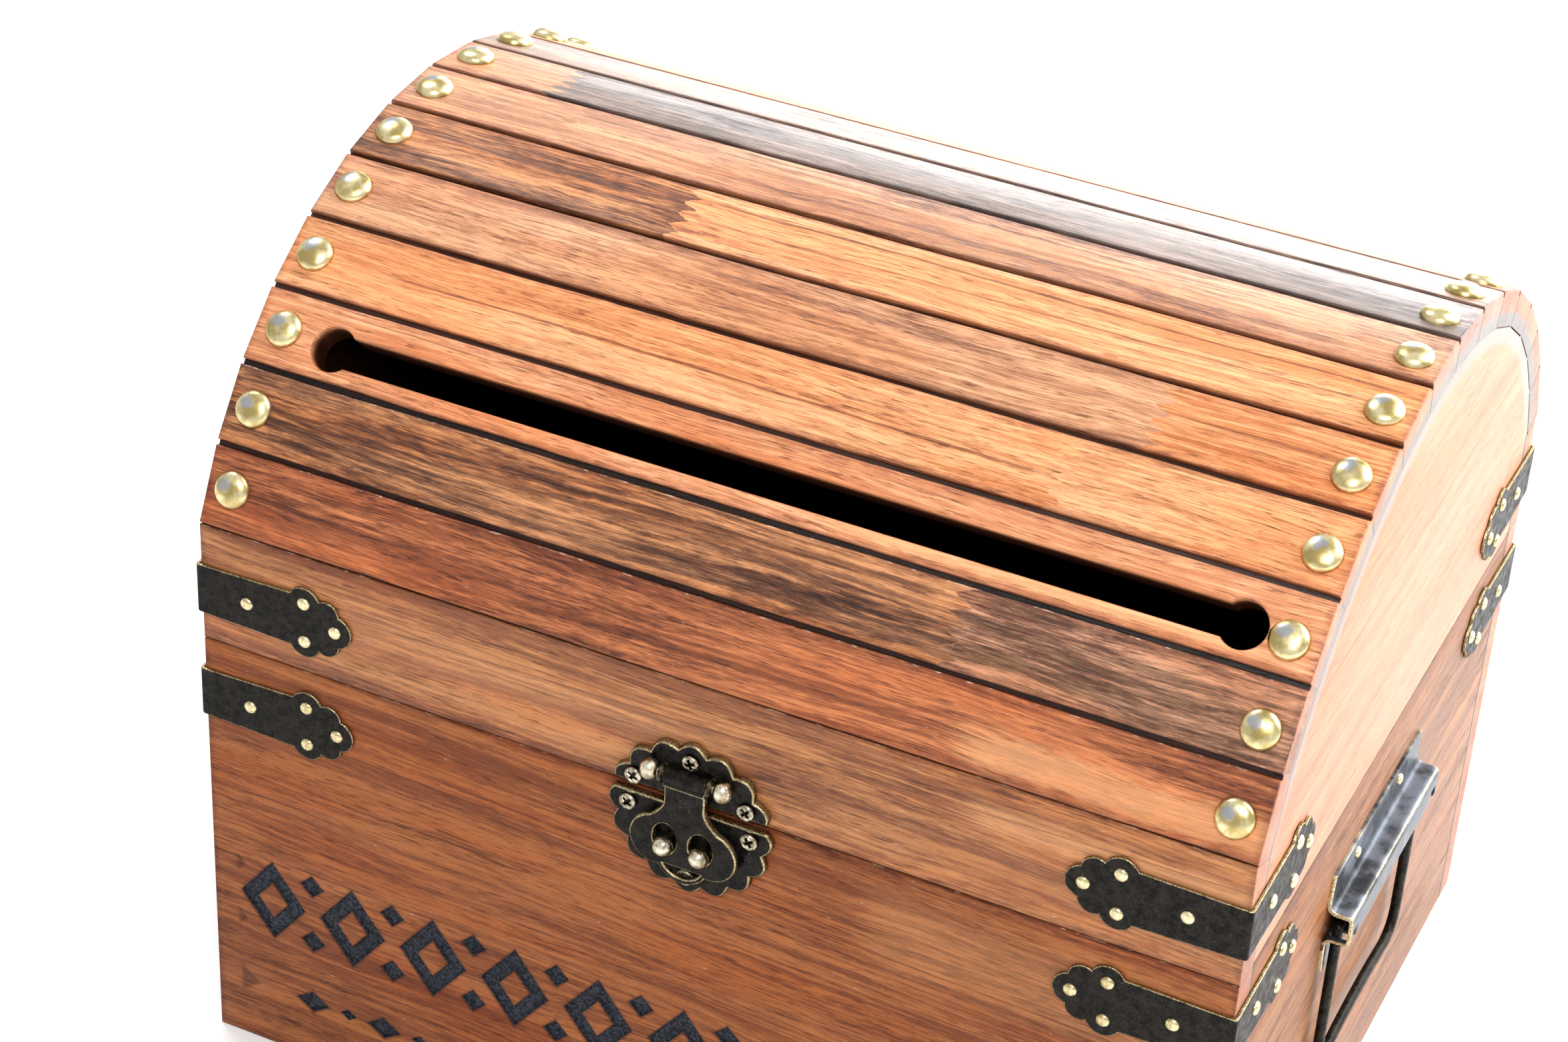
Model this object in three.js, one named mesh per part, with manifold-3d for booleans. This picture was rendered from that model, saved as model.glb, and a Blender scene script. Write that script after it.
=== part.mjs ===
// Donation box: a wooden chest with a domed lid of slats, a paper slot in the third slat,
// corner straps, a round latch with a swinging hasp, and a drop handle on each side.
//
// Millimetres, +Z up. The origin is the middle of the underside. X runs from the left end
// to the right end, and the front face looks along -Y.
import * as THREE from 'three';
import { mergeVertices } from 'three/addons/utils/BufferGeometryUtils.js';
import Module from 'manifold-3d';

const wasm = await Module();
wasm.setup();

// ---------------------------------------------------------------- driving dimensions
const WIDTH = 300;
const DEPTH = 244.6;
const BOARD = 10; // thickness of every board, rail and slat
const END_BOARD = 12; // thickness of the lid's two D-shaped ends
const BOTTOM_BOARD = 8;
const GAP = 0.3; // clearance between pieces that touch
const BOX_TOP = 137.75;
const LID_BOTTOM = 138.05;
const HALF_WIDTH = WIDTH / 2;
const HALF_DEPTH = DEPTH / 2;

// The roof is an arc of flat slats. Angles are measured at the arc's centre, from the
// front horizontal.
const ARC_RADIUS = 131;
const ARC_CENTRE_Z = 129.2;
const SLAT_COUNT = 14;
const FIRST_JOINT = THREE.MathUtils.degToRad(20.7);
const SLAT_ANGLE = (Math.PI - 2 * FIRST_JOINT) / SLAT_COUNT;
const SLAT_FACE = ARC_RADIUS * Math.cos(SLAT_ANGLE / 2); // arc centre to a slat's outer face
const SLAT_JOINT = 1.5; // open joint between two slats

const NAIL_INSET = 8.2; // nail centre to the slat's end
const NAIL_RADIUS = 5;
const NAIL_HEIGHT = 2.4;
const RIGHT_NAIL_DROP = 1.6; // the right-hand row sits a little low on its slats

const SLOT_SLAT = 2; // the third slat, counting from 0
const SLOT_WIDTH = 8.8;
const SLOT_HOLE_RADIUS = 6.3;
const SLOT_LEFT = -125.7; // centres of the drilled end holes
const SLOT_RIGHT = 129.7;
const SLOT_DROP = 1.3; // below the slat's middle line

const SHEET = 1; // metal sheet of the hinges
const STRAP_SHEET = 0.8;
const STRAP_Z = { lid: 154.8, box: 120.5 };
const STRAP_HALF_AT_CORNER = 7.65;
const STRAP_HALF_AT_NECK = 8.6;
const STRAP_NECK = 36; // band length, from the corner
const STRAP_LOBES = [
  // distance from the corner, height off the centre line, radius
  [34, 6.1, 5],
  [34, -6.1, 5],
  [37.5, 0, 5],
  [40.6, 4.6, 4.1],
  [40.6, -4.6, 4.1],
  [43.5, 0, 5],
];
const STRAP_PINS = [
  [16, 0],
  [34, 6.1],
  [34, -6.1],
  [43.5, 0],
];
const PIN_HEAD = { radius: 2, crown: 1.1, height: 1, sides: 8 };

const LATCH = {
  z: 133.8,
  sheet: 2, // height of the two plates, whose rims turn down to the wood
  radius: 21.6,
  lobe: 2.2, // how far the scallops stand out
  lobes: 16,
  upperEdge: 140,
  lowerEdge: 137.1,
  axisZ: 148.5,
  axisOut: 5.1, // hinge axis, out from the front face
  knuckle: 2.4,
  bore: 1.4,
  pin: 1.1,
  ball: 2.7,
  ballX: 10.5, // ball centres, from the latch's middle
  earInner: 6.3, // the upper plate's two knuckles
  earOuter: 7.5,
  earHalf: 1.6, // half thickness of a knuckle's foot
};
const HASP = {
  barrel: 5.9,
  neck: 5.9,
  neckZ: 140, // the neck widens below here
  shoulder: 13.5,
  shoulderZ: 132,
  lobeX: 7.7,
  lobeZ: 127,
  lobe: 7.9,
  tipZ: 123.1,
  sheet: 1.6,
};
const STUD = { x: 5.2, z: 126.3, shank: 1.6, ball: 2.3, ballOut: 7.6, depth: 4 };
const HASP_HOLE = { z: 128.2, halfWidth: 3.3, halfHeight: 4.7 };
// half-moon opening in the hasp's tip: radius, and half angle of the arc
const HASP_MOON = { radius: 6.2, halfAngle: THREE.MathUtils.degToRad(60), steps: 12 };
const SCREW = { head: 2.2, height: 1.2, shank: 1, depth: 6, clearance: 0.3 };
const LATCH_SCREWS = {
  upper: [
    [0, 152.4],
    [-16.2, 142.9],
    [16.2, 142.9],
  ],
  lower: [
    [-17.6, 133.9],
    [17.6, 133.9],
    [0, 115.5],
  ],
};

const HANDLE = {
  y: -3, // middle of the handle, front to back
  halfLength: 38.8,
  top: 115.8,
  bottom: 83.3,
  channelTop: 104.6,
  channelBottom: 94.5,
  channelOut: 6.3,
  sheet: 0.8,
  corner: 1, // how far the ends of the two flanges lean in
  pinX: 18.7,
  pinOffset: 11.5, // pins above and below the channel's middle
};
const BAIL = { half: 35, radius: 1.5, axisZ: 97.4, axisOut: 3.1, bottom: 47, bow: 3, corner: 9 };
const BAIL_STEPS = 60;
const BAIL_SIDES = 6;
const BAIL_SLOT = { half: 1.9, top: 99.4 };

const HINGE = {
  x: 85,
  axisZ: 137.9,
  axisOut: 3,
  halfWidth: 16,
  leaf: 20,
  knuckle: 2.4,
  bore: 1.4,
  pin: 1.1,
  middle: 5.1, // half the length of the middle knuckle
  screwX: 10,
  screwFar: 12.4, // screw centres, from the axis
  screwHeight: 0.8,
};

// A burnt-in frieze on the front board: rings of a lozenge with a centre dot, small lozenges
// between them, and a row of small lozenges underneath.
const FRIEZE = { z: 53.5, halfHeight: 13.5, halfWidth: 10.4, stroke: 4.2, left: -130.5, count: 11 };
const FRIEZE_PITCH = (2 * -FRIEZE.left) / (FRIEZE.count - 1);
const FRIEZE_DEPTH = 1;
const SMALL_ROW = { z: 21, half: 3.6, left: -118, count: 21 };

const ROUND = 12; // sides of a small round part

// ---------------------------------------------------------------- materials
function material(color, roughness, metalness) {
  return new THREE.MeshStandardMaterial({ color, roughness, metalness });
}
const WOOD = material(0xa8642f, 0.55, 0);
const PALE_WOOD = material(0xc58a54, 0.65, 0);
const BRONZE = material(0x3a3428, 0.45, 0.85);
const BRASS = material(0xb08d4a, 0.35, 0.9);
const STEEL = material(0xa9a69c, 0.3, 0.95);

// ---------------------------------------------------------------- solids
const X = new THREE.Vector3(1, 0, 0);
const Y = new THREE.Vector3(0, 1, 0);
const Z = new THREE.Vector3(0, 0, 1);
const WELD = 1e-4;
const SIMPLIFY = 2e-3; // faces closer to flat than this are merged

function toSolid(geometry) {
  const bare = geometry.clone();
  bare.deleteAttribute('normal');
  bare.deleteAttribute('uv');
  const welded = mergeVertices(bare, WELD);
  const index = welded.index.array;
  const kept = [];
  for (let i = 0; i < index.length; i += 3) {
    const [a, b, c] = [index[i], index[i + 1], index[i + 2]];
    if (a !== b && b !== c && c !== a) kept.push(a, b, c);
  }
  const mesh = new wasm.Mesh({
    numProp: 3,
    vertProperties: welded.attributes.position.array,
    triVerts: new Uint32Array(kept),
  });
  return new wasm.Manifold(mesh);
}

function toGeometry(solid) {
  const mesh = solid.asOriginal().simplify(SIMPLIFY).getMesh();
  const geometry = new THREE.BufferGeometry();
  geometry.setAttribute('position', new THREE.BufferAttribute(mesh.vertProperties, 3));
  geometry.setIndex(new THREE.BufferAttribute(mesh.triVerts, 1));
  geometry.computeVertexNormals();
  return geometry;
}

function join(solids) {
  return solids.reduce((sum, solid) => sum.add(solid));
}

function cut(solid, tools) {
  return tools.reduce((left, tool) => left.subtract(tool), solid);
}

function box(x0, x1, y0, y1, z0, z1) {
  const geometry = new THREE.BoxGeometry(x1 - x0, y1 - y0, z1 - z0);
  return geometry.translate((x0 + x1) / 2, (y0 + y1) / 2, (z0 + z1) / 2);
}

// A flat outline in the local XY plane, raised from z0 to z1.
function slab(points, z0, z1) {
  const shape = new THREE.Shape(points.map(([x, y]) => new THREE.Vector2(x, y)));
  const geometry = new THREE.ExtrudeGeometry(shape, { depth: z1 - z0, bevelEnabled: false });
  return geometry.translate(0, 0, z0);
}

// A section drawn in the YZ plane and drawn out along X.
function alongX(points, x0, x1) {
  return slab(points, x0, x1).applyMatrix4(new THREE.Matrix4().makeBasis(Y, Z, X));
}

// A round peg standing on the local XY plane.
function peg(x, y, radius, z0, z1, topRadius = radius, sides = ROUND) {
  const geometry = new THREE.CylinderGeometry(topRadius, radius, z1 - z0, sides);
  return geometry.rotateX(Math.PI / 2).translate(x, y, (z0 + z1) / 2);
}

// A round bar along X, through (y, z).
function bar(x0, x1, y, z, radius, sides = ROUND) {
  const geometry = new THREE.CylinderGeometry(radius, radius, x1 - x0, sides);
  return geometry.rotateZ(-Math.PI / 2).translate((x0 + x1) / 2, y, z);
}

// A turned shape round the local Z axis. The profile runs upwards, as [radius, height].
function turned(profile, sides = ROUND) {
  const points = profile.map(([radius, height]) => new THREE.Vector2(radius, height));
  return new THREE.LatheGeometry(points, sides).rotateX(Math.PI / 2);
}

// ---------------------------------------------------------------- scene graph
const chest = new THREE.Group();

function place(name, shape, look, parent = chest) {
  const geometry = shape.isBufferGeometry ? shape : toGeometry(shape);
  const mesh = new THREE.Mesh(geometry, look);
  mesh.name = name;
  parent.add(mesh);
  return mesh;
}

// A frame on an outer face: local X to the right along the face, local Y up, local Z out.
function faceFrame(right, out, distance) {
  const frame = new THREE.Group();
  frame.quaternion.setFromRotationMatrix(new THREE.Matrix4().makeBasis(right, Z, out));
  frame.position.copy(out).multiplyScalar(distance);
  chest.add(frame);
  return frame;
}
const FRONT = faceFrame(X, Y.clone().negate(), HALF_DEPTH);
const BACK = faceFrame(X.clone().negate(), Y, HALF_DEPTH);
const RIGHT = faceFrame(Y, X, HALF_WIDTH);
const LEFT = faceFrame(Y.clone().negate(), X.clone().negate(), HALF_WIDTH);

function inFaceFrame(geometry, frame) {
  frame.updateMatrixWorld(true);
  return geometry.applyMatrix4(frame.matrixWorld);
}

// ---------------------------------------------------------------- box
function lozenge(x, z, halfWidth, halfHeight) {
  return [
    [x + halfWidth, z],
    [x, z + halfHeight],
    [x - halfWidth, z],
    [x, z - halfHeight],
  ];
}

// Pockets of the frieze, as solids that stand from the pocket's floor to above the face.
function friezePockets() {
  const above = 1;
  const pocket = (outline) => toSolid(slab(outline, -FRIEZE_DEPTH, above));
  const pockets = [];
  for (let i = 0; i < FRIEZE.count; i += 1) {
    const x = FRIEZE.left + i * FRIEZE_PITCH;
    const ring = pocket(lozenge(x, FRIEZE.z, FRIEZE.halfWidth, FRIEZE.halfHeight));
    const slant = FRIEZE.stroke * Math.hypot(1, FRIEZE.halfHeight / FRIEZE.halfWidth);
    const innerHeight = FRIEZE.halfHeight - slant;
    const innerWidth = (innerHeight * FRIEZE.halfWidth) / FRIEZE.halfHeight;
    const core = pocket(lozenge(x, FRIEZE.z, innerWidth, innerHeight));
    pockets.push(ring.subtract(core));
    if (i > 0) {
      const between = x - FRIEZE_PITCH / 2;
      const height = FRIEZE.halfHeight - SMALL_ROW.half;
      pockets.push(pocket(lozenge(between, FRIEZE.z + height, SMALL_ROW.half, SMALL_ROW.half)));
      pockets.push(pocket(lozenge(between, FRIEZE.z - height, SMALL_ROW.half, SMALL_ROW.half)));
    }
  }
  const pitch = (2 * -SMALL_ROW.left) / (SMALL_ROW.count - 1);
  for (let i = 0; i < SMALL_ROW.count; i += 1) {
    const half = i % 2 ? SMALL_ROW.half / 2 : SMALL_ROW.half;
    pockets.push(pocket(lozenge(SMALL_ROW.left + i * pitch, SMALL_ROW.z, half * 1.4, half)));
  }
  return pockets;
}

// Pilot holes for the latch's screws and studs, in the front face's frame.
function pilotHole([x, z], radius, depth) {
  return toSolid(peg(x, z, radius, -depth - GAP, 1));
}

function buildBox() {
  const studHole = STUD.shank + GAP;
  const screwHole = SCREW.shank + SCREW.clearance;
  const frontBoard = cut(toSolid(box(-HALF_WIDTH, HALF_WIDTH, 0, BOX_TOP, -BOARD, 0)), [
    ...friezePockets(),
    ...LATCH_SCREWS.lower.map((at) => pilotHole(at, screwHole, SCREW.depth)),
    pilotHole([-STUD.x, STUD.z], studHole, STUD.depth),
    pilotHole([STUD.x, STUD.z], studHole, STUD.depth),
  ]);
  place('front_board', frontBoard, WOOD, FRONT);
  place('back_board', box(-HALF_WIDTH, HALF_WIDTH, 0, BOX_TOP, -BOARD, 0), WOOD, BACK);
  const sideHalf = HALF_DEPTH - BOARD - GAP;
  for (const [name, face] of [['right_side', RIGHT], ['left_side', LEFT]]) {
    place(name, box(-sideHalf, sideHalf, 0, BOX_TOP, -BOARD, 0), WOOD, face);
  }
  const floorHalf = HALF_WIDTH - BOARD - GAP;
  place('bottom_board', box(-floorHalf, floorHalf, -sideHalf, sideHalf, 0, BOTTOM_BOARD), PALE_WOOD);
}

// ---------------------------------------------------------------- lid
// Height of the plane between a rail and its first slat, at a distance from the lid's middle.
function firstJointZ(distance) {
  return ARC_CENTRE_Z + distance * Math.tan(FIRST_JOINT);
}

function railSection() {
  const inner = HALF_DEPTH - BOARD;
  return [
    [-HALF_DEPTH, LID_BOTTOM],
    [-inner, LID_BOTTOM],
    [-inner, firstJointZ(inner) - GAP],
    [-HALF_DEPTH, firstJointZ(HALF_DEPTH) - GAP],
  ];
}

// The end board fills the arc under the slats and stands between the two rails.
function endOutline() {
  const inside = HALF_DEPTH - BOARD - GAP;
  const faceDistance = SLAT_FACE - BOARD - GAP;
  const cornerRadius = faceDistance / Math.cos(SLAT_ANGLE / 2);
  const slope = FIRST_JOINT + SLAT_ANGLE / 2;
  const shoulder = ARC_CENTRE_Z + (faceDistance - inside * Math.cos(slope)) / Math.sin(slope);
  const arc = [];
  for (let k = SLAT_COUNT - 1; k > 0; k -= 1) {
    const angle = FIRST_JOINT + k * SLAT_ANGLE;
    arc.push([-cornerRadius * Math.cos(angle), ARC_CENTRE_Z + cornerRadius * Math.sin(angle)]);
  }
  return [
    [-inside, LID_BOTTOM],
    [inside, LID_BOTTOM],
    [inside, shoulder],
    ...arc,
    [-inside, shoulder],
  ];
}

// A slat in its own frame: X along it, Y up the roof, Z out from the arc's centre.
function slatSection(index) {
  const outer = SLAT_FACE;
  const inner = SLAT_FACE - BOARD;
  const half = (distance, joint) =>
    distance * Math.tan(SLAT_ANGLE / 2) - joint / 2 / Math.cos(SLAT_ANGLE / 2);
  // the joints to the two rails are tight
  const lower = index === 0 ? GAP : SLAT_JOINT;
  const upper = index === SLAT_COUNT - 1 ? GAP : SLAT_JOINT;
  return [
    [-half(outer, lower), outer],
    [-half(inner, lower), inner],
    [half(inner, upper), inner],
    [half(outer, upper), outer],
  ];
}

function nailHead(x, y) {
  const sunk = 0.5; // the dome's rim is pressed into the wood
  const dome = turned(
    [
      [0, -sunk],
      [NAIL_RADIUS, -sunk],
      [NAIL_RADIUS, 0],
      [NAIL_RADIUS * 0.72, NAIL_HEIGHT * 0.7],
      [0, NAIL_HEIGHT],
    ],
    10,
  );
  return toSolid(dome.translate(x, y, SLAT_FACE));
}

function paperSlot() {
  const below = SLAT_FACE - 2 * BOARD;
  const above = SLAT_FACE + BOARD;
  const half = SLOT_WIDTH / 2;
  const groove = box(SLOT_LEFT, SLOT_RIGHT, -SLOT_DROP - half, -SLOT_DROP + half, below, above);
  const hole = (x) => toSolid(peg(x, -SLOT_DROP, SLOT_HOLE_RADIUS, below, above, undefined, 20));
  return join([toSolid(groove), hole(SLOT_LEFT), hole(SLOT_RIGHT)]);
}

function buildLid() {
  const rail = alongX(railSection(), -HALF_WIDTH, HALF_WIDTH);
  const screwHole = SCREW.shank + SCREW.clearance;
  const holes = LATCH_SCREWS.upper.map(([x, z]) => {
    const hole = peg(x, z, screwHole, -SCREW.depth - GAP, 1);
    return toSolid(inFaceFrame(hole, FRONT));
  });
  place('lid_front_rail', cut(toSolid(rail), holes), WOOD);
  place('lid_back_rail', rail.clone(), WOOD).rotation.z = Math.PI;
  const inner = HALF_WIDTH - END_BOARD;
  place('lid_right_end', alongX(endOutline(), inner, HALF_WIDTH), WOOD);
  place('lid_left_end', alongX(endOutline(), -HALF_WIDTH, -inner), WOOD);

  const arc = new THREE.Group();
  arc.position.z = ARC_CENTRE_Z;
  chest.add(arc);
  const nailX = HALF_WIDTH - NAIL_INSET;
  for (let i = 0; i < SLAT_COUNT; i += 1) {
    const plain = toSolid(alongX(slatSection(i), -HALF_WIDTH, HALF_WIDTH));
    const slat = i === SLOT_SLAT ? plain.subtract(paperSlot()) : plain;
    const nailed = join([slat, nailHead(-nailX, 0), nailHead(nailX, -RIGHT_NAIL_DROP)]);
    const name = i === SLOT_SLAT ? 'slot_slat' : `slat_${String(i + 1).padStart(2, '0')}`;
    const mesh = place(name, nailed, WOOD, arc);
    mesh.rotation.x = Math.PI / 2 - (FIRST_JOINT + (i + 0.5) * SLAT_ANGLE);
  }
}

// ---------------------------------------------------------------- corner straps
// The head of a small pin, joined to the sheet that it holds.
function pinHead(x, y, back, face) {
  const { radius, crown, height, sides } = PIN_HEAD;
  return peg(x, y, radius, back, face + height, crown, sides);
}

// One leg of a strap in a face's frame. It starts past the corner, so that the two legs meet.
function strapLeg(cornerX, inward, centreZ) {
  const out0 = GAP;
  const out1 = GAP + STRAP_SHEET;
  const at = (distance) => cornerX + inward * distance;
  const band = slab(
    [
      [at(-out1), centreZ - STRAP_HALF_AT_CORNER],
      [at(STRAP_NECK), centreZ - STRAP_HALF_AT_NECK],
      [at(STRAP_NECK), centreZ + STRAP_HALF_AT_NECK],
      [at(-out1), centreZ + STRAP_HALF_AT_CORNER],
    ],
    out0,
    out1,
  );
  const lobes = STRAP_LOBES.map(([along, up, radius]) =>
    peg(at(along), centreZ + up, radius, out0, out1, radius, 14),
  );
  const pins = STRAP_PINS.map(([along, up]) =>
    pinHead(at(along), centreZ + up, out0, out1),
  );
  return [band, ...lobes, ...pins];
}

function buildStraps() {
  const corners = [
    ['front_left', FRONT, -HALF_WIDTH, 1, LEFT, HALF_DEPTH, -1],
    ['front_right', FRONT, HALF_WIDTH, -1, RIGHT, -HALF_DEPTH, 1],
    ['back_left', BACK, HALF_WIDTH, -1, LEFT, -HALF_DEPTH, 1],
    ['back_right', BACK, -HALF_WIDTH, 1, RIGHT, HALF_DEPTH, -1],
  ];
  for (const [corner, face, faceX, faceInward, side, sideX, sideInward] of corners) {
    for (const [level, z] of Object.entries(STRAP_Z)) {
      const legs = [
        ...strapLeg(faceX, faceInward, z).map((piece) => inFaceFrame(piece, face)),
        ...strapLeg(sideX, sideInward, z).map((piece) => inFaceFrame(piece, side)),
      ];
      place(`${level}_strap_${corner}`, join(legs.map(toSolid)), BRONZE);
    }
  }
}

// ---------------------------------------------------------------- latch
// A round plate with a scalloped rim.
function latchDisc() {
  const steps = LATCH.lobes * 6;
  const outline = [];
  for (let i = 0; i < steps; i += 1) {
    const angle = (2 * Math.PI * i) / steps;
    const radius = LATCH.radius + LATCH.lobe * Math.abs(Math.cos((LATCH.lobes / 2) * angle));
    outline.push([radius * Math.cos(angle), LATCH.z + radius * Math.sin(angle)]);
  }
  return toSolid(slab(outline, GAP, GAP + LATCH.sheet));
}

function latchPlate(keptFrom, keptTo, holes) {
  const wide = 2 * LATCH.radius;
  const above = GAP + LATCH.sheet + 1;
  const kept = toSolid(box(-wide, wide, keptFrom, keptTo, -1, above));
  const drills = holes.map(([x, z, radius]) => toSolid(peg(x, z, radius, -1, above)));
  return cut(latchDisc().intersect(kept), drills);
}

function buildLatch() {
  const far = 2 * LATCH.radius;
  const screwHole = SCREW.shank + SCREW.clearance;
  const screwHoles = (list) => list.map(([x, z]) => [x, z, screwHole]);

  // the hasp turns between two knuckles on the upper plate
  const upper = latchPlate(LATCH.upperEdge, LATCH.z + far, screwHoles(LATCH_SCREWS.upper));
  const ears = [-1, 1].flatMap((side) => {
    const [x0, x1] = [side * LATCH.earInner, side * LATCH.earOuter].sort((a, b) => a - b);
    return [
      toSolid(bar(x0, x1, LATCH.axisZ, LATCH.axisOut, LATCH.knuckle)),
      toSolid(
        box(x0, x1, LATCH.axisZ - LATCH.earHalf, LATCH.axisZ + LATCH.earHalf, GAP, LATCH.axisOut),
      ),
    ];
  });
  const bore = toSolid(bar(-far, far, LATCH.axisZ, LATCH.axisOut, LATCH.bore));
  place('latch_upper_plate', join([upper, ...ears]).subtract(bore), BRONZE, FRONT);

  const studHole = STUD.shank + GAP;
  const lower = latchPlate(LATCH.z - far, LATCH.lowerEdge, [
    ...screwHoles(LATCH_SCREWS.lower),
    [-STUD.x, STUD.z, studHole],
    [STUD.x, STUD.z, studHole],
  ]);
  place('latch_lower_plate', lower, BRONZE, FRONT);

  // pin with a ball on each end
  const { ball, ballX } = LATCH;
  const rings = [-0.8, -0.3, 0.3, 0.8]; // heights of the ball's rings, as parts of its radius
  const round = rings.map((t) => [ball * Math.sqrt(1 - t * t), ballX + ball * t]);
  const half = [[LATCH.pin, 0], [LATCH.pin, ballX - ball], ...round, [0, ballX + ball]];
  const mirrored = half.slice(1).reverse().map(([radius, height]) => [radius, -height]);
  const pin = turned([...mirrored, ...half]).rotateY(Math.PI / 2);
  place('latch_pin', toSolid(pin.translate(0, LATCH.axisZ, LATCH.axisOut)), BRASS, FRONT);

  place('latch_hasp', hasp(bore), BRONZE, FRONT);

  for (const [name, side] of [['left', -1], ['right', 1]]) {
    const stud = turned([
      [0, -STUD.depth],
      [STUD.shank, -STUD.depth],
      [STUD.shank, STUD.ballOut - STUD.ball * 0.8],
      [STUD.ball * 0.92, STUD.ballOut - STUD.ball * 0.4],
      [STUD.ball, STUD.ballOut],
      [STUD.ball * 0.75, STUD.ballOut + STUD.ball * 0.66],
      [0, STUD.ballOut + STUD.ball],
    ]);
    place(`latch_stud_${name}`, toSolid(stud.translate(side * STUD.x, STUD.z, 0)), STEEL, FRONT);
  }

  for (const [level, list] of Object.entries(LATCH_SCREWS)) {
    list.forEach(([x, z], i) => {
      const seat = 2 * GAP + LATCH.sheet;
      const screw = turned([
        [0, -SCREW.depth],
        [SCREW.shank, 1 - SCREW.depth],
        [SCREW.shank, seat],
        [SCREW.head, seat],
        [SCREW.head, seat + SCREW.height / 2],
        [SCREW.head / 2, seat + SCREW.height],
        [0, seat + SCREW.height],
      ]);
      place(`latch_${level}_screw_${i + 1}`, toSolid(screw.translate(x, z, 0)), STEEL, FRONT);
    });
  }
}

// The hasp: a barrel, a narrow neck and three lobes, with two oval holes for the studs and a
// half-moon opening over the lower screw.
function hasp(bore) {
  const out0 = LATCH.axisOut - HASP.sheet / 2;
  const out1 = LATCH.axisOut + HASP.sheet / 2;
  const neck = slab(
    [
      [-HASP.neck, LATCH.axisZ],
      [-HASP.neck, HASP.neckZ],
      [-HASP.shoulder, HASP.shoulderZ],
      [HASP.shoulder, HASP.shoulderZ],
      [HASP.neck, HASP.neckZ],
      [HASP.neck, LATCH.axisZ],
    ],
    out0,
    out1,
  );
  const lobe = (x, z) => toSolid(peg(x, z, HASP.lobe, out0, out1, HASP.lobe, 20));
  const hole = (x) => {
    const oval = peg(0, 0, HASP_HOLE.halfWidth, out0 - 1, out1 + 1, undefined, 16);
    const stretch = HASP_HOLE.halfHeight / HASP_HOLE.halfWidth;
    return toSolid(oval.scale(1, stretch, 1).translate(x, HASP_HOLE.z, 0));
  };
  const moon = [];
  for (let k = 0; k <= HASP_MOON.steps; k += 1) {
    const angle = HASP_MOON.halfAngle * ((2 * k) / HASP_MOON.steps - 1);
    const [x, z] = [HASP_MOON.radius * Math.sin(angle), -HASP_MOON.radius * Math.cos(angle)];
    moon.push([x, HASP.tipZ + z]);
  }
  const body = join([
    toSolid(neck),
    lobe(-HASP.lobeX, HASP.lobeZ),
    lobe(HASP.lobeX, HASP.lobeZ),
    lobe(0, HASP.tipZ),
    toSolid(bar(-HASP.barrel, HASP.barrel, LATCH.axisZ, LATCH.axisOut, LATCH.knuckle)),
  ]);
  return cut(body, [hole(-STUD.x), hole(STUD.x), toSolid(slab(moon, out0 - 1, out1 + 1)), bore]);
}

// ---------------------------------------------------------------- side handles
// The back plate is one sheet, folded out into a channel that the bail's top bar turns in.
function handlePlate() {
  const h = HANDLE;
  const [out0, out1] = [GAP, GAP + h.sheet];
  const length = h.halfLength;
  const folds = [
    box(-length, length, h.channelTop - h.sheet, h.top, out0, out1),
    box(-length, length, h.bottom, h.channelBottom + h.sheet, out0, out1),
    box(-length, length, h.channelTop - h.sheet, h.channelTop, out0, h.channelOut),
    box(-length, length, h.channelBottom, h.channelBottom + h.sheet, out0, h.channelOut),
    box(-length, length, h.channelBottom, h.channelTop, h.channelOut - h.sheet, h.channelOut),
  ];
  const outline = [
    [-length, h.channelTop],
    [-length, h.channelBottom],
    [-length + h.corner, h.bottom],
    [length - h.corner, h.bottom],
    [length, h.channelBottom],
    [length, h.channelTop],
    [length - h.corner, h.top],
    [-length + h.corner, h.top],
  ];
  const plate = join(folds.map(toSolid)).intersect(toSolid(slab(outline, 0, h.channelOut + 1)));
  const slots = [-BAIL.half, BAIL.half].map((x) =>
    toSolid(
      box(x - BAIL_SLOT.half, x + BAIL_SLOT.half, h.channelBottom - 1, BAIL_SLOT.top, out1, 10),
    ),
  );
  const middle = (h.channelTop + h.channelBottom) / 2;
  const pins = [];
  for (const x of [-h.pinX, h.pinX]) {
    for (const z of [middle - h.pinOffset, middle + h.pinOffset]) {
      pins.push(toSolid(pinHead(x, z, out0, out1)));
    }
  }
  return join([cut(plate, slots), ...pins]);
}

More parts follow.
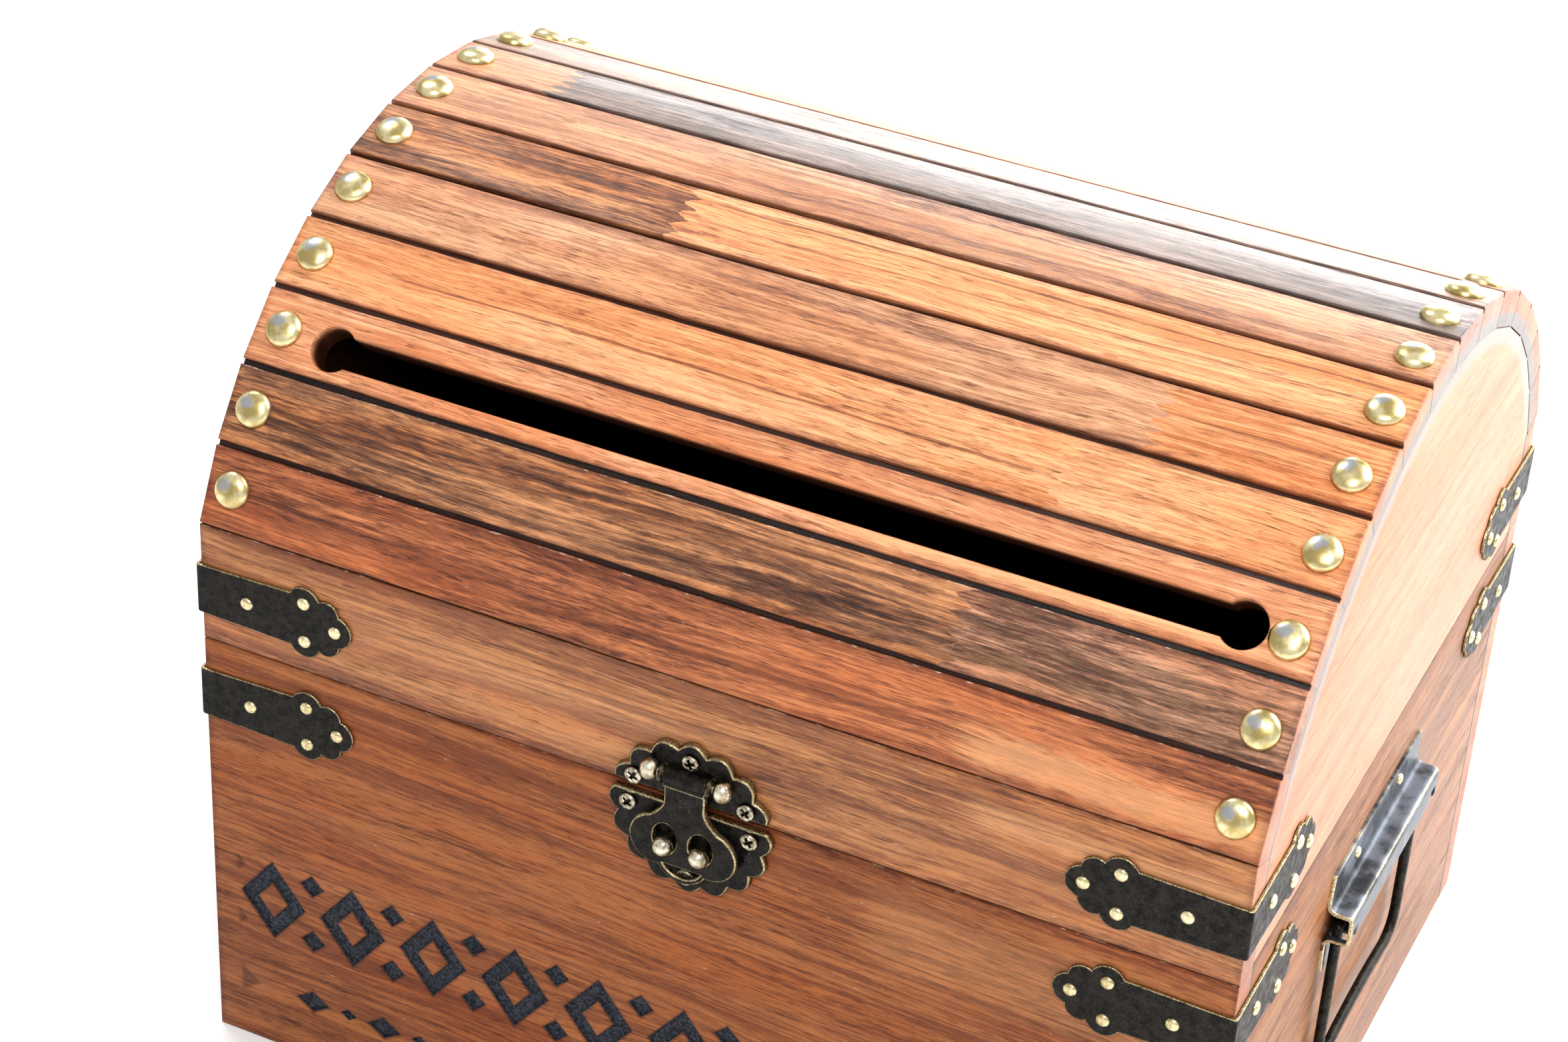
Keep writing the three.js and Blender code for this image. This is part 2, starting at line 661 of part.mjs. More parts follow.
// The bail is a closed loop of round bar: straight in the channel, with a slightly bowed grip.
function bailLoop() {
  const { half, axisZ, bottom, bow, corner } = BAIL;
  const point = (x, z) => new THREE.Vector3(x, z, BAIL.axisOut);
  const top = 2.5; // corner radius inside the channel
  const loop = new THREE.CurvePath();
  loop.add(new THREE.LineCurve3(point(-half + top, axisZ), point(half - top, axisZ)));
  loop.add(
    new THREE.QuadraticBezierCurve3(
      point(half - top, axisZ),
      point(half, axisZ),
      point(half, axisZ - top),
    ),
  );
  loop.add(new THREE.LineCurve3(point(half, axisZ - top), point(half, bottom + corner)));
  loop.add(
    new THREE.QuadraticBezierCurve3(
      point(half, bottom + corner),
      point(half, bottom),
      point(half - corner, bottom),
    ),
  );
  loop.add(
    new THREE.QuadraticBezierCurve3(
      point(half - corner, bottom),
      point(0, bottom + bow),
      point(-half + corner, bottom),
    ),
  );
  loop.add(
    new THREE.QuadraticBezierCurve3(
      point(-half + corner, bottom),
      point(-half, bottom),
      point(-half, bottom + corner),
    ),
  );
  loop.add(new THREE.LineCurve3(point(-half, bottom + corner), point(-half, axisZ - top)));
  loop.add(
    new THREE.QuadraticBezierCurve3(
      point(-half, axisZ - top),
      point(-half, axisZ),
      point(-half + top, axisZ),
    ),
  );
  return toSolid(new THREE.TubeGeometry(loop, BAIL_STEPS, BAIL.radius, BAIL_SIDES, true));
}

function buildHandles() {
  for (const [side, face, x] of [['right', RIGHT, HANDLE.y], ['left', LEFT, -HANDLE.y]]) {
    place(`handle_plate_${side}`, handlePlate(), BRONZE, face).position.x = x;
    place(`handle_bail_${side}`, bailLoop(), BRONZE, face).position.x = x;
  }
}

// ---------------------------------------------------------------- back hinges
// A leaf with its knuckles. side is 1 for the lid's leaf and -1 for the box's.
function hingeLeaf(side, knuckles) {
  const [out0, out1] = [GAP, GAP + SHEET];
  const clear = HINGE.knuckle + 2 * GAP;
  const upTo = (distance) => HINGE.axisZ + side * distance;
  const rows = (a, b) => [Math.min(a, b), Math.max(a, b)];
  const [z0, z1] = rows(upTo(clear), upTo(HINGE.leaf));
  const [tab0, tab1] = rows(upTo(0), upTo(clear));
  const pieces = [box(-HINGE.halfWidth, HINGE.halfWidth, z0, z1, out0, out1)];
  for (const [x0, x1] of knuckles) {
    pieces.push(bar(x0, x1, HINGE.axisZ, HINGE.axisOut, HINGE.knuckle));
    pieces.push(box(x0, x1, tab0, tab1, out0, out1));
  }
  for (const x of [-HINGE.screwX, HINGE.screwX]) {
    const crown = SCREW.head * 0.65;
    pieces.push(peg(x, upTo(HINGE.screwFar), SCREW.head, out0, out1 + HINGE.screwHeight, crown, 10));
  }
  const far = 2 * HINGE.halfWidth;
  const bore = toSolid(bar(-far, far, HINGE.axisZ, HINGE.axisOut, HINGE.bore));
  return join(pieces.map(toSolid)).subtract(bore);
}

function buildHinges() {
  const { halfWidth, middle } = HINGE;
  const outer = [
    [-halfWidth, -middle - 2 * GAP],
    [middle + 2 * GAP, halfWidth],
  ];
  for (const [name, x] of [['left', HINGE.x], ['right', -HINGE.x]]) {
    const lidLeaf = hingeLeaf(1, [[-middle, middle]]);
    place(`hinge_lid_leaf_${name}`, lidLeaf, BRONZE, BACK).position.x = x;
    place(`hinge_box_leaf_${name}`, hingeLeaf(-1, outer), BRONZE, BACK).position.x = x;
    const pin = bar(-halfWidth - 1, halfWidth + 1, HINGE.axisZ, HINGE.axisOut, HINGE.pin);
    place(`hinge_pin_${name}`, pin, BRASS, BACK).position.x = x;
  }
}

buildBox();
buildLid();
buildStraps();
buildLatch();
buildHandles();
buildHinges();

export default chest;
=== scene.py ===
"""Looks of the donation box: stained wood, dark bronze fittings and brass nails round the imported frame.

Shapes are worked out in millimetres in the frame of the face that they lie on: u to the right,
v up the face and w out of it. The mesh attribute "grain" keeps those coordinates for the
materials, and "edge" is 1 on the rims of a metal sheet and 0 away from them.
"""

import math

import bmesh
import bpy
import numpy as np
from mathutils import Matrix, Quaternion, Vector, noise
from mathutils.geometry import delaunay_2d_cdt


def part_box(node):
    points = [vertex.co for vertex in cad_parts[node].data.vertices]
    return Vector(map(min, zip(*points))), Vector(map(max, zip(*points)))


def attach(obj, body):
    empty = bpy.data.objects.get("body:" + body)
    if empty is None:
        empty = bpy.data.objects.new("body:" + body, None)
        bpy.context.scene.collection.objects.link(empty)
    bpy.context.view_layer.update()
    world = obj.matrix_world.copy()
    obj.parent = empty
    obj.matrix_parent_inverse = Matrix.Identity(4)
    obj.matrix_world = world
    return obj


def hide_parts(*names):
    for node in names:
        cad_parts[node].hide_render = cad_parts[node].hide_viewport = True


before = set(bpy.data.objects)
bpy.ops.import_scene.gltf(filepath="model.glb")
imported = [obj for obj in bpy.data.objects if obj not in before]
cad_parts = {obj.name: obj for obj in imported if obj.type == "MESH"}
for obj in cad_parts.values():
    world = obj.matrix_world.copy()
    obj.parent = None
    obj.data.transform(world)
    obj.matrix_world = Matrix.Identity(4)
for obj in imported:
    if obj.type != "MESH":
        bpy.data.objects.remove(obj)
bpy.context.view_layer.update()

MM = 0.001
TAU = 2 * math.pi


def corners(node):
    """Lowest and highest corner of a CAD node, in millimetres."""
    low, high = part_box(node)
    return low / MM, high / MM


# ---------------------------------------------------------------- sizes
FRONT_LOW, FRONT_HIGH = corners("front_board")
LID_BOTTOM = corners("lid_front_rail")[0].z
HALF_WIDTH = FRONT_HIGH.x
HALF_DEPTH = -FRONT_LOW.y
BOX_TOP = FRONT_HIGH.z
BOARD = FRONT_HIGH.y - FRONT_LOW.y
END_BOARD = 12
BOTTOM_BOARD = 8
GAP = 0.3

ARC_RADIUS = 131
ARC_CENTRE_Z = 129.2
SLAT_COUNT = 14
FIRST_JOINT = math.radians(20.7)
SLAT_ANGLE = (math.pi - 2 * FIRST_JOINT) / SLAT_COUNT
SLAT_FACE = ARC_RADIUS * math.cos(SLAT_ANGLE / 2)
SLAT_JOINT = 1.5
TONGUE_BOTTOM, TONGUE_TOP = -11.5, -1.8  # the strip that closes a joint, from the slats' faces

SLOT_SLAT = 2
SLOT_HALF_WIDTH = 4.4
SLOT_HOLE_RADIUS = 6.3
SLOT_LEFT = -125.7
SLOT_RIGHT = 129.7
SLOT_V = -1.3

NAIL_INSET = 8.2
NAIL_RADIUS = 5.3
NAIL_HEIGHT = 2.9
NAIL_GRAIN_PITCH = 23.0
RIGHT_NAIL_DROP = 1.6

STRAP_SHEET = 0.8
STRAP_Z = {"lid": 154.8, "box": 120.5}
STRAP_BAND = [(0, 7.65), (36, 8.6)]
STRAP_LOBES = [(34, 6.1, 5), (34, -6.1, 5), (37.5, 0, 5), (40.6, 4.6, 4.1), (40.6, -4.6, 4.1), (43.5, 0, 5)]
STRAP_PINS = [(16, 0), (34, 6.1), (34, -6.1), (43.5, 0)]
STRAP_TIP = 48.5
STRAP_FOLD_RADIUS = 1.1
FOLD_SPREAD = 1.5  # the grid of a folded sheet is fine within this distance of a fold
FOLD_STEP = 0.25
FLAT_STEP = 0.9
STRAP_PIN_RADIUS = 1.95
PIN_HEIGHT = 1.0

LATCH_Z = 133.8
LATCH_SHEET = 2.0
LATCH_OUT = GAP + LATCH_SHEET
LATCH_RADIUS = 21.6
LATCH_LOBE = 2.2
LATCH_LOBES = 16
LATCH_UPPER_EDGE = 140
LATCH_LOWER_EDGE = 137.1
LATCH_RIDGE = 17.9
RIDGE_HALF = 0.9
RIDGE_HEIGHT = 0.45
LATCH_AXIS_Z = 148.5
LATCH_AXIS_OUT = 5.1
LATCH_SCREWS = {
    "lid": [(0, 152.4), (-16.2, 142.9), (16.2, 142.9)],
    "box": [(-17.6, 133.9), (17.6, 133.9), (0, 115.5)],
}
SCREW_RADIUS = 2.5
SCREW_HEAD = 1.3
CROSS_REACH = 1.45
CROSS_HALF = 0.36

HASP_SHEET = 1.6
HASP_FACE = LATCH_AXIS_OUT + HASP_SHEET / 2
HASP_HOLE = (3.3, 4.7, 128.2)  # half width, half height, middle z
HASP_LOBES = [(-7.7, 127), (7.7, 127), (0, 123.1)]
HASP_LOBE_RADIUS = 7.9
HASP_BARREL = 5.9
NECK_STEPS = 10
NECK_FLARE = 4.6  # outwards, over the lower part of the neck
NECK_TOP = 140.5
NECK_DROP = 6.5
MOON_RADIUS = 6.2
ROLL_TOP, ROLL_BOTTOM = LATCH_AXIS_Z - 1.8, LATCH_AXIS_Z - 3.3
ROLL_SHEET = 0.9
ENGRAVED_INSET = 1.9
ENGRAVED_HALF = 0.35
ENGRAVED_DEPTH = 0.22
ENGRAVED_ARC = (126, 8.6, 132)  # middle z, radius, z of its lower end
KNUCKLE = 2.4
KNUCKLE_BORE = 1.4
EAR_X = 6.9
EAR_HALF = 0.6
LATCH_PIN_RADIUS = 1.1
LATCH_BALL = 2.7
LATCH_BALL_X = 10.5
LATCH_BALL_STRETCH = 1.18
STUD = (5.2, 126.3)
STUD_NECK = 1.9
STUD_NECK_OUT = 4.3
STUD_COLLAR = (2.2, 4.9)  # radius, distance out
STUD_HEAD = 2.85
STUD_HEAD_OUT = 7.2
STUD_HEAD_RISE = 2.7

HANDLE_Y = -3
HANDLE_HALF = 38.8
HANDLE_CORNER = 1
HANDLE_TOP = 115.8
HANDLE_BOTTOM = 83.3
HANDLE_FOLD_RADIUS = 2.2
CHANNEL_TOP = 104.6
CHANNEL_BOTTOM = 94.5
CHANNEL_OUT = 7.8
HANDLE_SHEET = 0.8
HANDLE_SHOWN = 1.1  # thickness of the shown sheet, inwards from the same outer face
HANDLE_PIN_X = 18.7
HANDLE_PIN_Z = (111.05, 88.05)
HANDLE_PIN_RADIUS = 1.8
BAIL_HALF = 35
BAIL_RADIUS = 1.5
BAIL_SLOT_HALF = 1.9
BAIL_AXIS_Z = 97.4
BAIL_AXIS_OUT = 3.1
BAIL_BOTTOM = 47
BAIL_TOP_CORNER = 2.5
BAIL_CORNER = 9.0
BAIL_BOW = 3.0

FRIEZE_Z = 53.5
FRIEZE_HALF_HEIGHT = 13.5
FRIEZE_HALF_WIDTH = 10.4
FRIEZE_STROKE = 4.2
FRIEZE_SLANT = FRIEZE_STROKE * math.hypot(1, FRIEZE_HALF_HEIGHT / FRIEZE_HALF_WIDTH)
FRIEZE_CORE = (FRIEZE_HALF_HEIGHT - FRIEZE_SLANT) / FRIEZE_HALF_HEIGHT
FRIEZE_LEFT = -130.5
FRIEZE_COUNT = 11
FRIEZE_PITCH = -2 * FRIEZE_LEFT / (FRIEZE_COUNT - 1)
FRIEZE_DEPTH = 1
SMALL_Z = 21
SMALL_HALF = 3.6
SMALL_STRETCH = 1.4
SMALL_OFF = FRIEZE_HALF_HEIGHT - SMALL_HALF  # from the large row's middle line
SMALL_LEFT = -118
SMALL_COUNT = 21
SMALL_PITCH = -2 * SMALL_LEFT / (SMALL_COUNT - 1)


# ---------------------------------------------------------------- flat outlines
def circle(x, y, radius, steps=32, stretch=1.0):
    turns = [TAU * k / steps for k in range(steps)]
    return [(x + radius * math.cos(a), y + radius * stretch * math.sin(a)) for a in turns]


def rectangle(x0, x1, y0, y1):
    return [(x0, y0), (x1, y0), (x1, y1), (x0, y1)]


def lozenge(x, y, half_width, half_height):
    return [(x + half_width, y), (x, y + half_height), (x - half_width, y), (x, y - half_height)]


def divided(loop, spacing):
    """The loop with points added so that none is further than spacing from the next."""
    made = []
    for a, b in zip(loop, loop[1:] + loop[:1]):
        steps = max(1, math.ceil(math.dist(a, b) / spacing))
        made += [(a[0] + (b[0] - a[0]) * k / steps, a[1] + (b[1] - a[1]) * k / steps) for k in range(steps)]
    return made


def signed_area(loop):
    a = np.array(loop)
    b = np.roll(a, -1, axis=0)
    return (a[:, 0] * b[:, 1] - b[:, 0] * a[:, 1]).sum() / 2


def inside(points, loops):
    """True for each point that an odd number of the loops go round."""
    points = np.asarray(points, float)
    x, y = points[:, 0], points[:, 1]
    found = np.zeros(len(points), bool)
    for loop in loops:
        a = np.array(loop, float)
        for (x0, y0), (x1, y1) in zip(a, np.roll(a, -1, axis=0)):
            if y0 == y1:
                continue
            crossed = (y0 > y) != (y1 > y)
            found ^= crossed & (x < x0 + (y - y0) * (x1 - x0) / (y1 - y0))
    return found


def offset(loop, distance):
    """The loop, which runs anticlockwise, grown by distance."""
    a = np.array(loop, float)
    ahead = np.roll(a, -1, axis=0) - a
    ahead /= np.linalg.norm(ahead, axis=1, keepdims=True)
    behind = np.roll(ahead, 1, axis=0)
    out = np.stack([ahead[:, 1] + behind[:, 1], -ahead[:, 0] - behind[:, 0]], axis=1)
    out /= np.maximum(np.linalg.norm(out, axis=1, keepdims=True), 1e-6)
    lean = out[:, 0] * ahead[:, 1] - out[:, 1] * ahead[:, 0]
    return a + out * (distance / np.maximum(lean, 0.5))[:, None]


def triangles(loops, extra=()):
    """Points, and triangles over them that keep every edge of the loops."""
    points, edges = [], []
    for loop in loops:
        base, count = len(points), len(loop)
        points += [Vector((float(x), float(y))) for x, y in loop]
        edges += [(base + k, base + (k + 1) % count) for k in range(count)]
    points += [Vector((float(x), float(y))) for x, y in extra]
    found, _, faces, *_ = delaunay_2d_cdt(points, edges, [], 0, 1e-5)
    return np.array([tuple(p) for p in found]), np.array([tuple(f) for f in faces])


def filled(loops, extra=()):
    """Points and triangles that fill what an odd number of the loops go round."""
    found, faces = triangles(loops, extra)
    return found, faces[inside(found[faces].mean(axis=1), loops)]


def union(shapes):
    """The one outline round several overlapping outlines."""
    found, faces = triangles(shapes)
    centre = found[faces].mean(axis=1)
    kept = faces[np.any([inside(centre, [loop]) for loop in shapes], axis=0)]
    half = {(int(f[k]), int(f[k - 2])) for f in kept for k in range(3)}
    border = {a: b for a, b in half if (b, a) not in half}
    here = start = min(border)
    loop = []
    while True:
        loop.append(tuple(found[here]))
        here = border[here]
        if here == start:
            return loop


def distance_to(points, loops):
    """Distance from each point to the nearest of the loops."""
    points = np.asarray(points, float)
    best = np.full(len(points), 1e9)
    for loop in loops:
        a = np.array(loop, float)
        for p, q in zip(a, np.roll(a, -1, axis=0)):
            along = q - p
            t = np.clip((points - p) @ along / max(along @ along, 1e-12), 0, 1)
            best = np.minimum(best, np.linalg.norm(points - p - t[:, None] * along, axis=1))
    return best


# ---------------------------------------------------------------- solids
def moved(p, axis, by):
    """A copy of the points, each moved along one axis by its own distance."""
    p = p.copy()
    p[:, axis] += by
    return p


def level(points, w):
    """Flat points lifted to the height w."""
    return np.column_stack([points, np.full(len(points), w)])


def bump(distance, half):
    """A rounded rise of height 1 at distance 0, gone where the distance is half."""
    return np.clip(1 - (distance / half) ** 2, 0, 1)


class Shape:
    """Faces in a local frame, in millimetres. "local" stays as the grain coordinate."""

    def __init__(self):
        self.local = np.zeros((0, 3))
        self.placed = np.zeros((0, 3))
        self.edge = np.zeros(0)
        self.faces = []
        self.flat = []
        self.look = []

    def add(self, points, faces, edge=0.0, flat=False):
        other = Shape()
        other.local = other.placed = np.asarray(points, float)
        other.edge = np.broadcast_to(edge, len(points))
        other.faces = [tuple(int(k) for k in f) for f in faces]
        other.flat = [flat] * len(faces)
        other.look = [0] * len(faces)
        return self.join(other)

    def rings(self, rings, edge=1.0):
        """A skin over closed rings of points, one after another."""
        count = len(rings[0])
        faces = []
        for r in range(len(rings) - 1):
            for k in range(count):
                a, b = r * count + k, r * count + (k + 1) % count
                faces.append((a, b, b + count, a + count))
        return self.add(np.vstack(rings), faces, edge)

    def join(self, other, look=None):
        base = len(self.local)
        self.local = np.vstack([self.local, other.local])
        self.placed = np.vstack([self.placed, other.placed])
        self.edge = np.append(self.edge, other.edge)
        self.faces += [tuple(k + base for k in f) for f in other.faces]
        self.flat += other.flat
        self.look += other.look if look is None else [look] * len(other.faces)
        return self

    def bend(self, change):
        """Moves the points by change(points), which takes and gives rows of u, v, w."""
        self.placed = change(self.placed)
        return self

    def weld(self):
        """Makes points that lie together one point."""
        keys = np.round(np.hstack([self.local, self.placed]), 3)
        _, first, index = np.unique(keys, axis=0, return_index=True, return_inverse=True)
        index = index.ravel()
        self.local, self.placed, self.edge = self.local[first], self.placed[first], self.edge[first]
        kept = []
        for face, flat, look in zip(self.faces, self.flat, self.look):
            ring = [int(index[k]) for k in face]
            ring = [k for i, k in enumerate(ring) if k != ring[i - 1]]
            if len(set(ring)) >= 3:
                kept.append((tuple(ring), flat, look))
        self.faces, self.flat, self.look = zip(*kept)

    def to(self, matrix):
        """Puts the shape in another frame, still in millimetres."""
        m = np.array(matrix)
        self.placed = self.placed @ m[:3, :3].T + m[:3, 3]
        return self

    def shift_grain(self, u=0.0, v=0.0, w=0.0):
        self.local = self.local + (u, v, w)
        return self

    def mesh(self, name):
        self.weld()
        data = bpy.data.meshes.new(name)
        data.from_pydata((self.placed * MM).tolist(), [], self.faces)
        data.polygons.foreach_set("use_smooth", [not f for f in self.flat])
        data.polygons.foreach_set("material_index", self.look)
        store(data, "grain", "FLOAT_VECTOR", "POINT", "vector", self.local)
        store(data, "edge", "FLOAT", "POINT", "value", self.edge)
        turn_outwards(data)
        data.set_sharp_from_angle(angle=math.radians(38))
        return data


def store(data, name, kind, domain, key, values):
    """Keeps values on a mesh as an attribute that the materials read."""
    made = data.attributes.new(name, kind, domain)
    made.data.foreach_set(key, np.asarray(values, np.float32).ravel())


def turn_outwards(data):
    work = bmesh.new()
    work.from_mesh(data)
    bmesh.ops.recalc_face_normals(work, faces=work.faces)
    work.to_mesh(data)
    work.free()


def carve(
    outline, thickness, holes=(), pockets=(), depth=0.0, rim=0.3, spacing=None, lines=None, reach=1.5,
    steps=3,
):
    """A plate under the plane w = 0 with rounded rims, through holes and flat-bottomed pockets."""
    kinds = [(outline, thickness)] + [(h, thickness) for h in holes] + [(p, depth) for p in pockets]
    loops = [list(loop) if signed_area(loop) > 0 else list(loop)[::-1] for loop, _ in kinds]
    sides = []
    for k, loop in enumerate(loops):
        around = sum(inside([loop[0]], [other])[0] for i, other in enumerate(loops) if i != k)
        sides.append(1 if around % 2 else -1)
    tops = [offset(loop, side * rim) for loop, side in zip(loops, sides)]
    extra = []
    if spacing:
        low, high = np.min(loops[0], axis=0), np.max(loops[0], axis=0)
        us, vs = lines or (None, None)
        us = np.arange(low[0] + spacing / 2, high[0], spacing) if us is None else us
        vs = np.arange(low[1] + spacing / 2, high[1], spacing) if vs is None else vs
        spots = np.array([(u, v) for u in us for v in vs])
        spots = spots[inside(spots, tops)]
        extra = spots[distance_to(spots, tops) > 0.35 * spacing]
    shape = Shape()
    grid = spacing is not None
    points, faces = filled(tops, extra)
    near = np.clip(1 - distance_to(points, loops) / reach, 0, 1) if grid else 0.0
    shape.add(level(points, 0.0), faces, near, not grid)
    for loop, side, top, (_, down) in zip(loops, sides, tops, kinds):
        rings = []
        for k in range(steps + 1):
            turn = math.pi / 2 * k / steps
            ring = offset(loop, side * rim * (1 - math.sin(turn)))
            rings.append(level(ring, -rim * (1 - math.cos(turn))))
        rings.append(level(loop, -down))
        shape.rings(rings)
    if pockets:
        points, faces = filled(loops[1 + len(holes) :])
        shape.add(level(points, -depth), faces, 0.0, True)
    points, faces = filled(loops[: 1 + len(holes)], extra)
    return shape.add(level(points, -thickness), faces, 0.0, not grid)


def turned(profile, sides=24, closed=False):
    """A turned shape round w. The profile runs as (radius, w)."""
    profile = list(profile) + ([profile[0]] if closed else [])
    return Shape().rings([level(circle(0, 0, max(r, 1e-4), sides), w) for r, w in profile], edge=0.0)


def swept(points, radii, sides=12):
    """A closed loop of round bar. radii gives the bar's half width and half thickness."""
    line = np.array(points, float)
    ahead = np.roll(line, -1, axis=0) - np.roll(line, 1, axis=0)
    ahead /= np.linalg.norm(ahead, axis=1, keepdims=True)
    out = np.array([0.0, 0.0, 1.0])
    rings = []
    for p, d, (wide, thick) in zip(line, ahead, radii):
        across = np.cross(d, out)
        ring = [p + across * wide * x + out * thick * y for x, y in circle(0, 0, 1, sides)]
        rings.append(ring)
    return Shape().rings(rings + rings[:1], edge=0.0)


class Path:
    """A line in a plane with rounded corners, that a flat sheet is bent along."""

    def __init__(self, points, radius, steps=8):
        corner = [Vector(p) for p in points]
        line = [corner[0]]
        for before, here, after in zip(corner, corner[1:], corner[2:]):
            a, b = (before - here).normalized(), (after - here).normalized()
            reach = radius / math.tan(a.angle(b) / 2)
            start, end = here + a * reach, here + b * reach
            for k in range(steps + 1):
                t = k / steps
                line.append(start * (1 - t) ** 2 + here * (2 * t * (1 - t)) + end * t**2)
        line.append(corner[-1])
        self.points = np.array([tuple(p) for p in line])
        steps_along = np.linalg.norm(np.diff(self.points, axis=0), axis=1)
        self.run = np.append(0, np.cumsum(steps_along))
        ahead = np.gradient(self.points, self.run, axis=0)
        self.ahead = ahead / np.linalg.norm(ahead, axis=1, keepdims=True)

    def at(self, run, out):
        """Points at a distance along the line and out to its left."""
        p = [np.interp(run, self.run, self.points[:, k]) for k in (0, 1)]
        d = [np.interp(run, self.run, self.ahead[:, k]) for k in (0, 1)]
        size = np.hypot(*d)
        return p[0] - d[1] / size * out, p[1] + d[0] / size * out


# ---------------------------------------------------------------- frames of the faces
def face_frame(right, up, out, origin):
    m = Matrix.Identity(4)
    for k, axis in enumerate((right, up, out, origin)):
        m.col[k].xyz = axis
    return m


X, Y, Z = Vector((1, 0, 0)), Vector((0, 1, 0)), Vector((0, 0, 1))
FRONT = face_frame(X, Z, -Y, -Y * HALF_DEPTH)
BACK = face_frame(-X, Z, Y, Y * HALF_DEPTH)
RIGHT = face_frame(Y, Z, X, X * HALF_WIDTH)
LEFT = face_frame(-Y, Z, -X, -X * HALF_WIDTH)
UNDER = face_frame(X, -Y, -Z, Vector((0, 0, 0)))
LYING = Matrix.Rotation(math.pi / 2, 4, "Y")  # lays a turned shape along u


def at(u, v, w):
    return Matrix.Translation((u, v, w))


def slat_frame(index):
    angle = FIRST_JOINT + (index + 0.5) * SLAT_ANGLE
    out = Vector((0, -math.cos(angle), math.sin(angle)))
    up = Vector((0, math.sin(angle), math.cos(angle)))
    return face_frame(X, up, out, Vector((0, 0, ARC_CENTRE_Z)) + out * SLAT_FACE)


def make(name, shape, body, looks, replaced=()):
    """The object made of a shape. It rides on a body and stands for the replaced CAD nodes."""
    data = shape.mesh(name) if isinstance(shape, Shape) else shape
    for look in looks:
        data.materials.append(look)
    made = bpy.data.objects.new(name, data)
    bpy.context.scene.collection.objects.link(made)
    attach(made, body)
    if replaced:
        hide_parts(*replaced)
    return made


# ---------------------------------------------------------------- material graphs
def tint(code):
    """A linear colour from a hex code."""
    parts = [int(code[k : k + 2], 16) / 255 for k in (0, 2, 4)]
    return tuple(p / 12.92 if p <= 0.04045 else ((p + 0.055) / 1.055) ** 2.4 for p in parts) + (1.0,)


class Value:
    """A node's output, so that sums, products and soft steps read as plain arithmetic."""

    def __init__(self, graph, socket):
        self.graph = graph
        self.socket = socket

    def __add__(self, other):
        return self.graph.math("ADD", self, other)

    def __sub__(self, other):
        return self.graph.math("SUBTRACT", self, other)

    def __rsub__(self, other):
        return self.graph.math("SUBTRACT", other, self)

    def __mul__(self, other):
        return self.graph.math("MULTIPLY", self, other)

    def __mod__(self, other):
        return self.graph.math("MODULO", self, other)

    def __pow__(self, other):
        return self.graph.math("POWER", self, other)

    def __abs__(self):
        return self.graph.math("ABSOLUTE", self)

    __radd__ = __add__
    __rmul__ = __mul__

    def step(self, start, end, low=0.0, high=1.0):
        """Goes from low to high as the value goes from start to end."""
        inputs = {0: self, 1: start, 2: end, 3: low, 4: high}
        return self.graph.value("MapRange", inputs, interpolation_type="SMOOTHSTEP")


class Graph:
    """A short way to write node materials."""

    def __init__(self, name):
        self.material = bpy.data.materials.new(name)
        self.material.use_nodes = True
        self.tree = self.material.node_tree
        self.tree.nodes.clear()

    def feed(self, socket, value):
        if isinstance(value, Value):
            self.tree.links.new(value.socket, socket)
        else:
            socket.default_value = value

    def node(self, kind, inputs=None, **settings):
        made = self.tree.nodes.new("ShaderNode" + kind)
        for key, value in settings.items():
            setattr(made, key, value)
        for key, value in (inputs or {}).items():
            self.feed(made.inputs[key], value)
        return made

    def value(self, kind, inputs=None, output=0, **settings):
        return Value(self, self.node(kind, inputs, **settings).outputs[output])

    def attribute(self, name, output="Vector"):
        return self.value("Attribute", None, output, attribute_name=name)

    def math(self, operation, *values):
        return self.value("Math", dict(enumerate(values)), operation=operation)

    def most(self, a, b):
        return self.math("MAXIMUM", a, b)

    def split(self, vector):
        return [Value(self, socket) for socket in self.node("SeparateXYZ", {0: vector}).outputs]

    def combine(self, x, y, z):
        return self.value("CombineXYZ", {0: x, 1: y, 2: z})

    def noise(self, vector, scale, seed=0.0, detail=2.0, rough=0.55):
        """Noise over a vector stretched by scale, about 0.5 and mostly from 0.3 to 0.7."""
        scale = scale if isinstance(scale, tuple) else (scale, scale, scale)
        inputs = {0: vector, 1: scale, 2: (seed, seed * 0.37, seed * 0.71)}
        spread = self.value("VectorMath", inputs, operation="MULTIPLY_ADD")
        inputs = {"Vector": spread, "Scale": 1.0, "Detail": detail, "Roughness": rough}
        return self.value("TexNoise", inputs)

    def blend(self, share, a, b):
        return self.value("Mix", {0: share, 6: a, 7: b}, 2, data_type="RGBA")

    def darken(self, colour, share, by):
        """Multiplies the colour by the tint, by, where share is 1."""
        inputs = {0: share, 6: colour, 7: by}
        return self.value("Mix", inputs, 2, data_type="RGBA", blend_type="MULTIPLY")

    def finish(self, colour, roughness, metallic=0.0, height=None, depth=0.1, strength=0.6, **fixed):
        """The material, with bumps of the given depth in millimetres."""
        inputs = {"Base Color": colour, "Roughness": roughness, "Metallic": metallic}
        shader = self.node("BsdfPrincipled", inputs)
        for key, value in fixed.items():
            shader.inputs[key.replace("_", " ")].default_value = value
        if height is not None:
            inputs = {"Strength": strength, "Distance": depth * MM, "Height": height}
            self.feed(shader.inputs["Normal"], self.value("Bump", inputs))
        self.feed(self.node("OutputMaterial").inputs[0], Value(self, shader.outputs[0]))
        return self.material


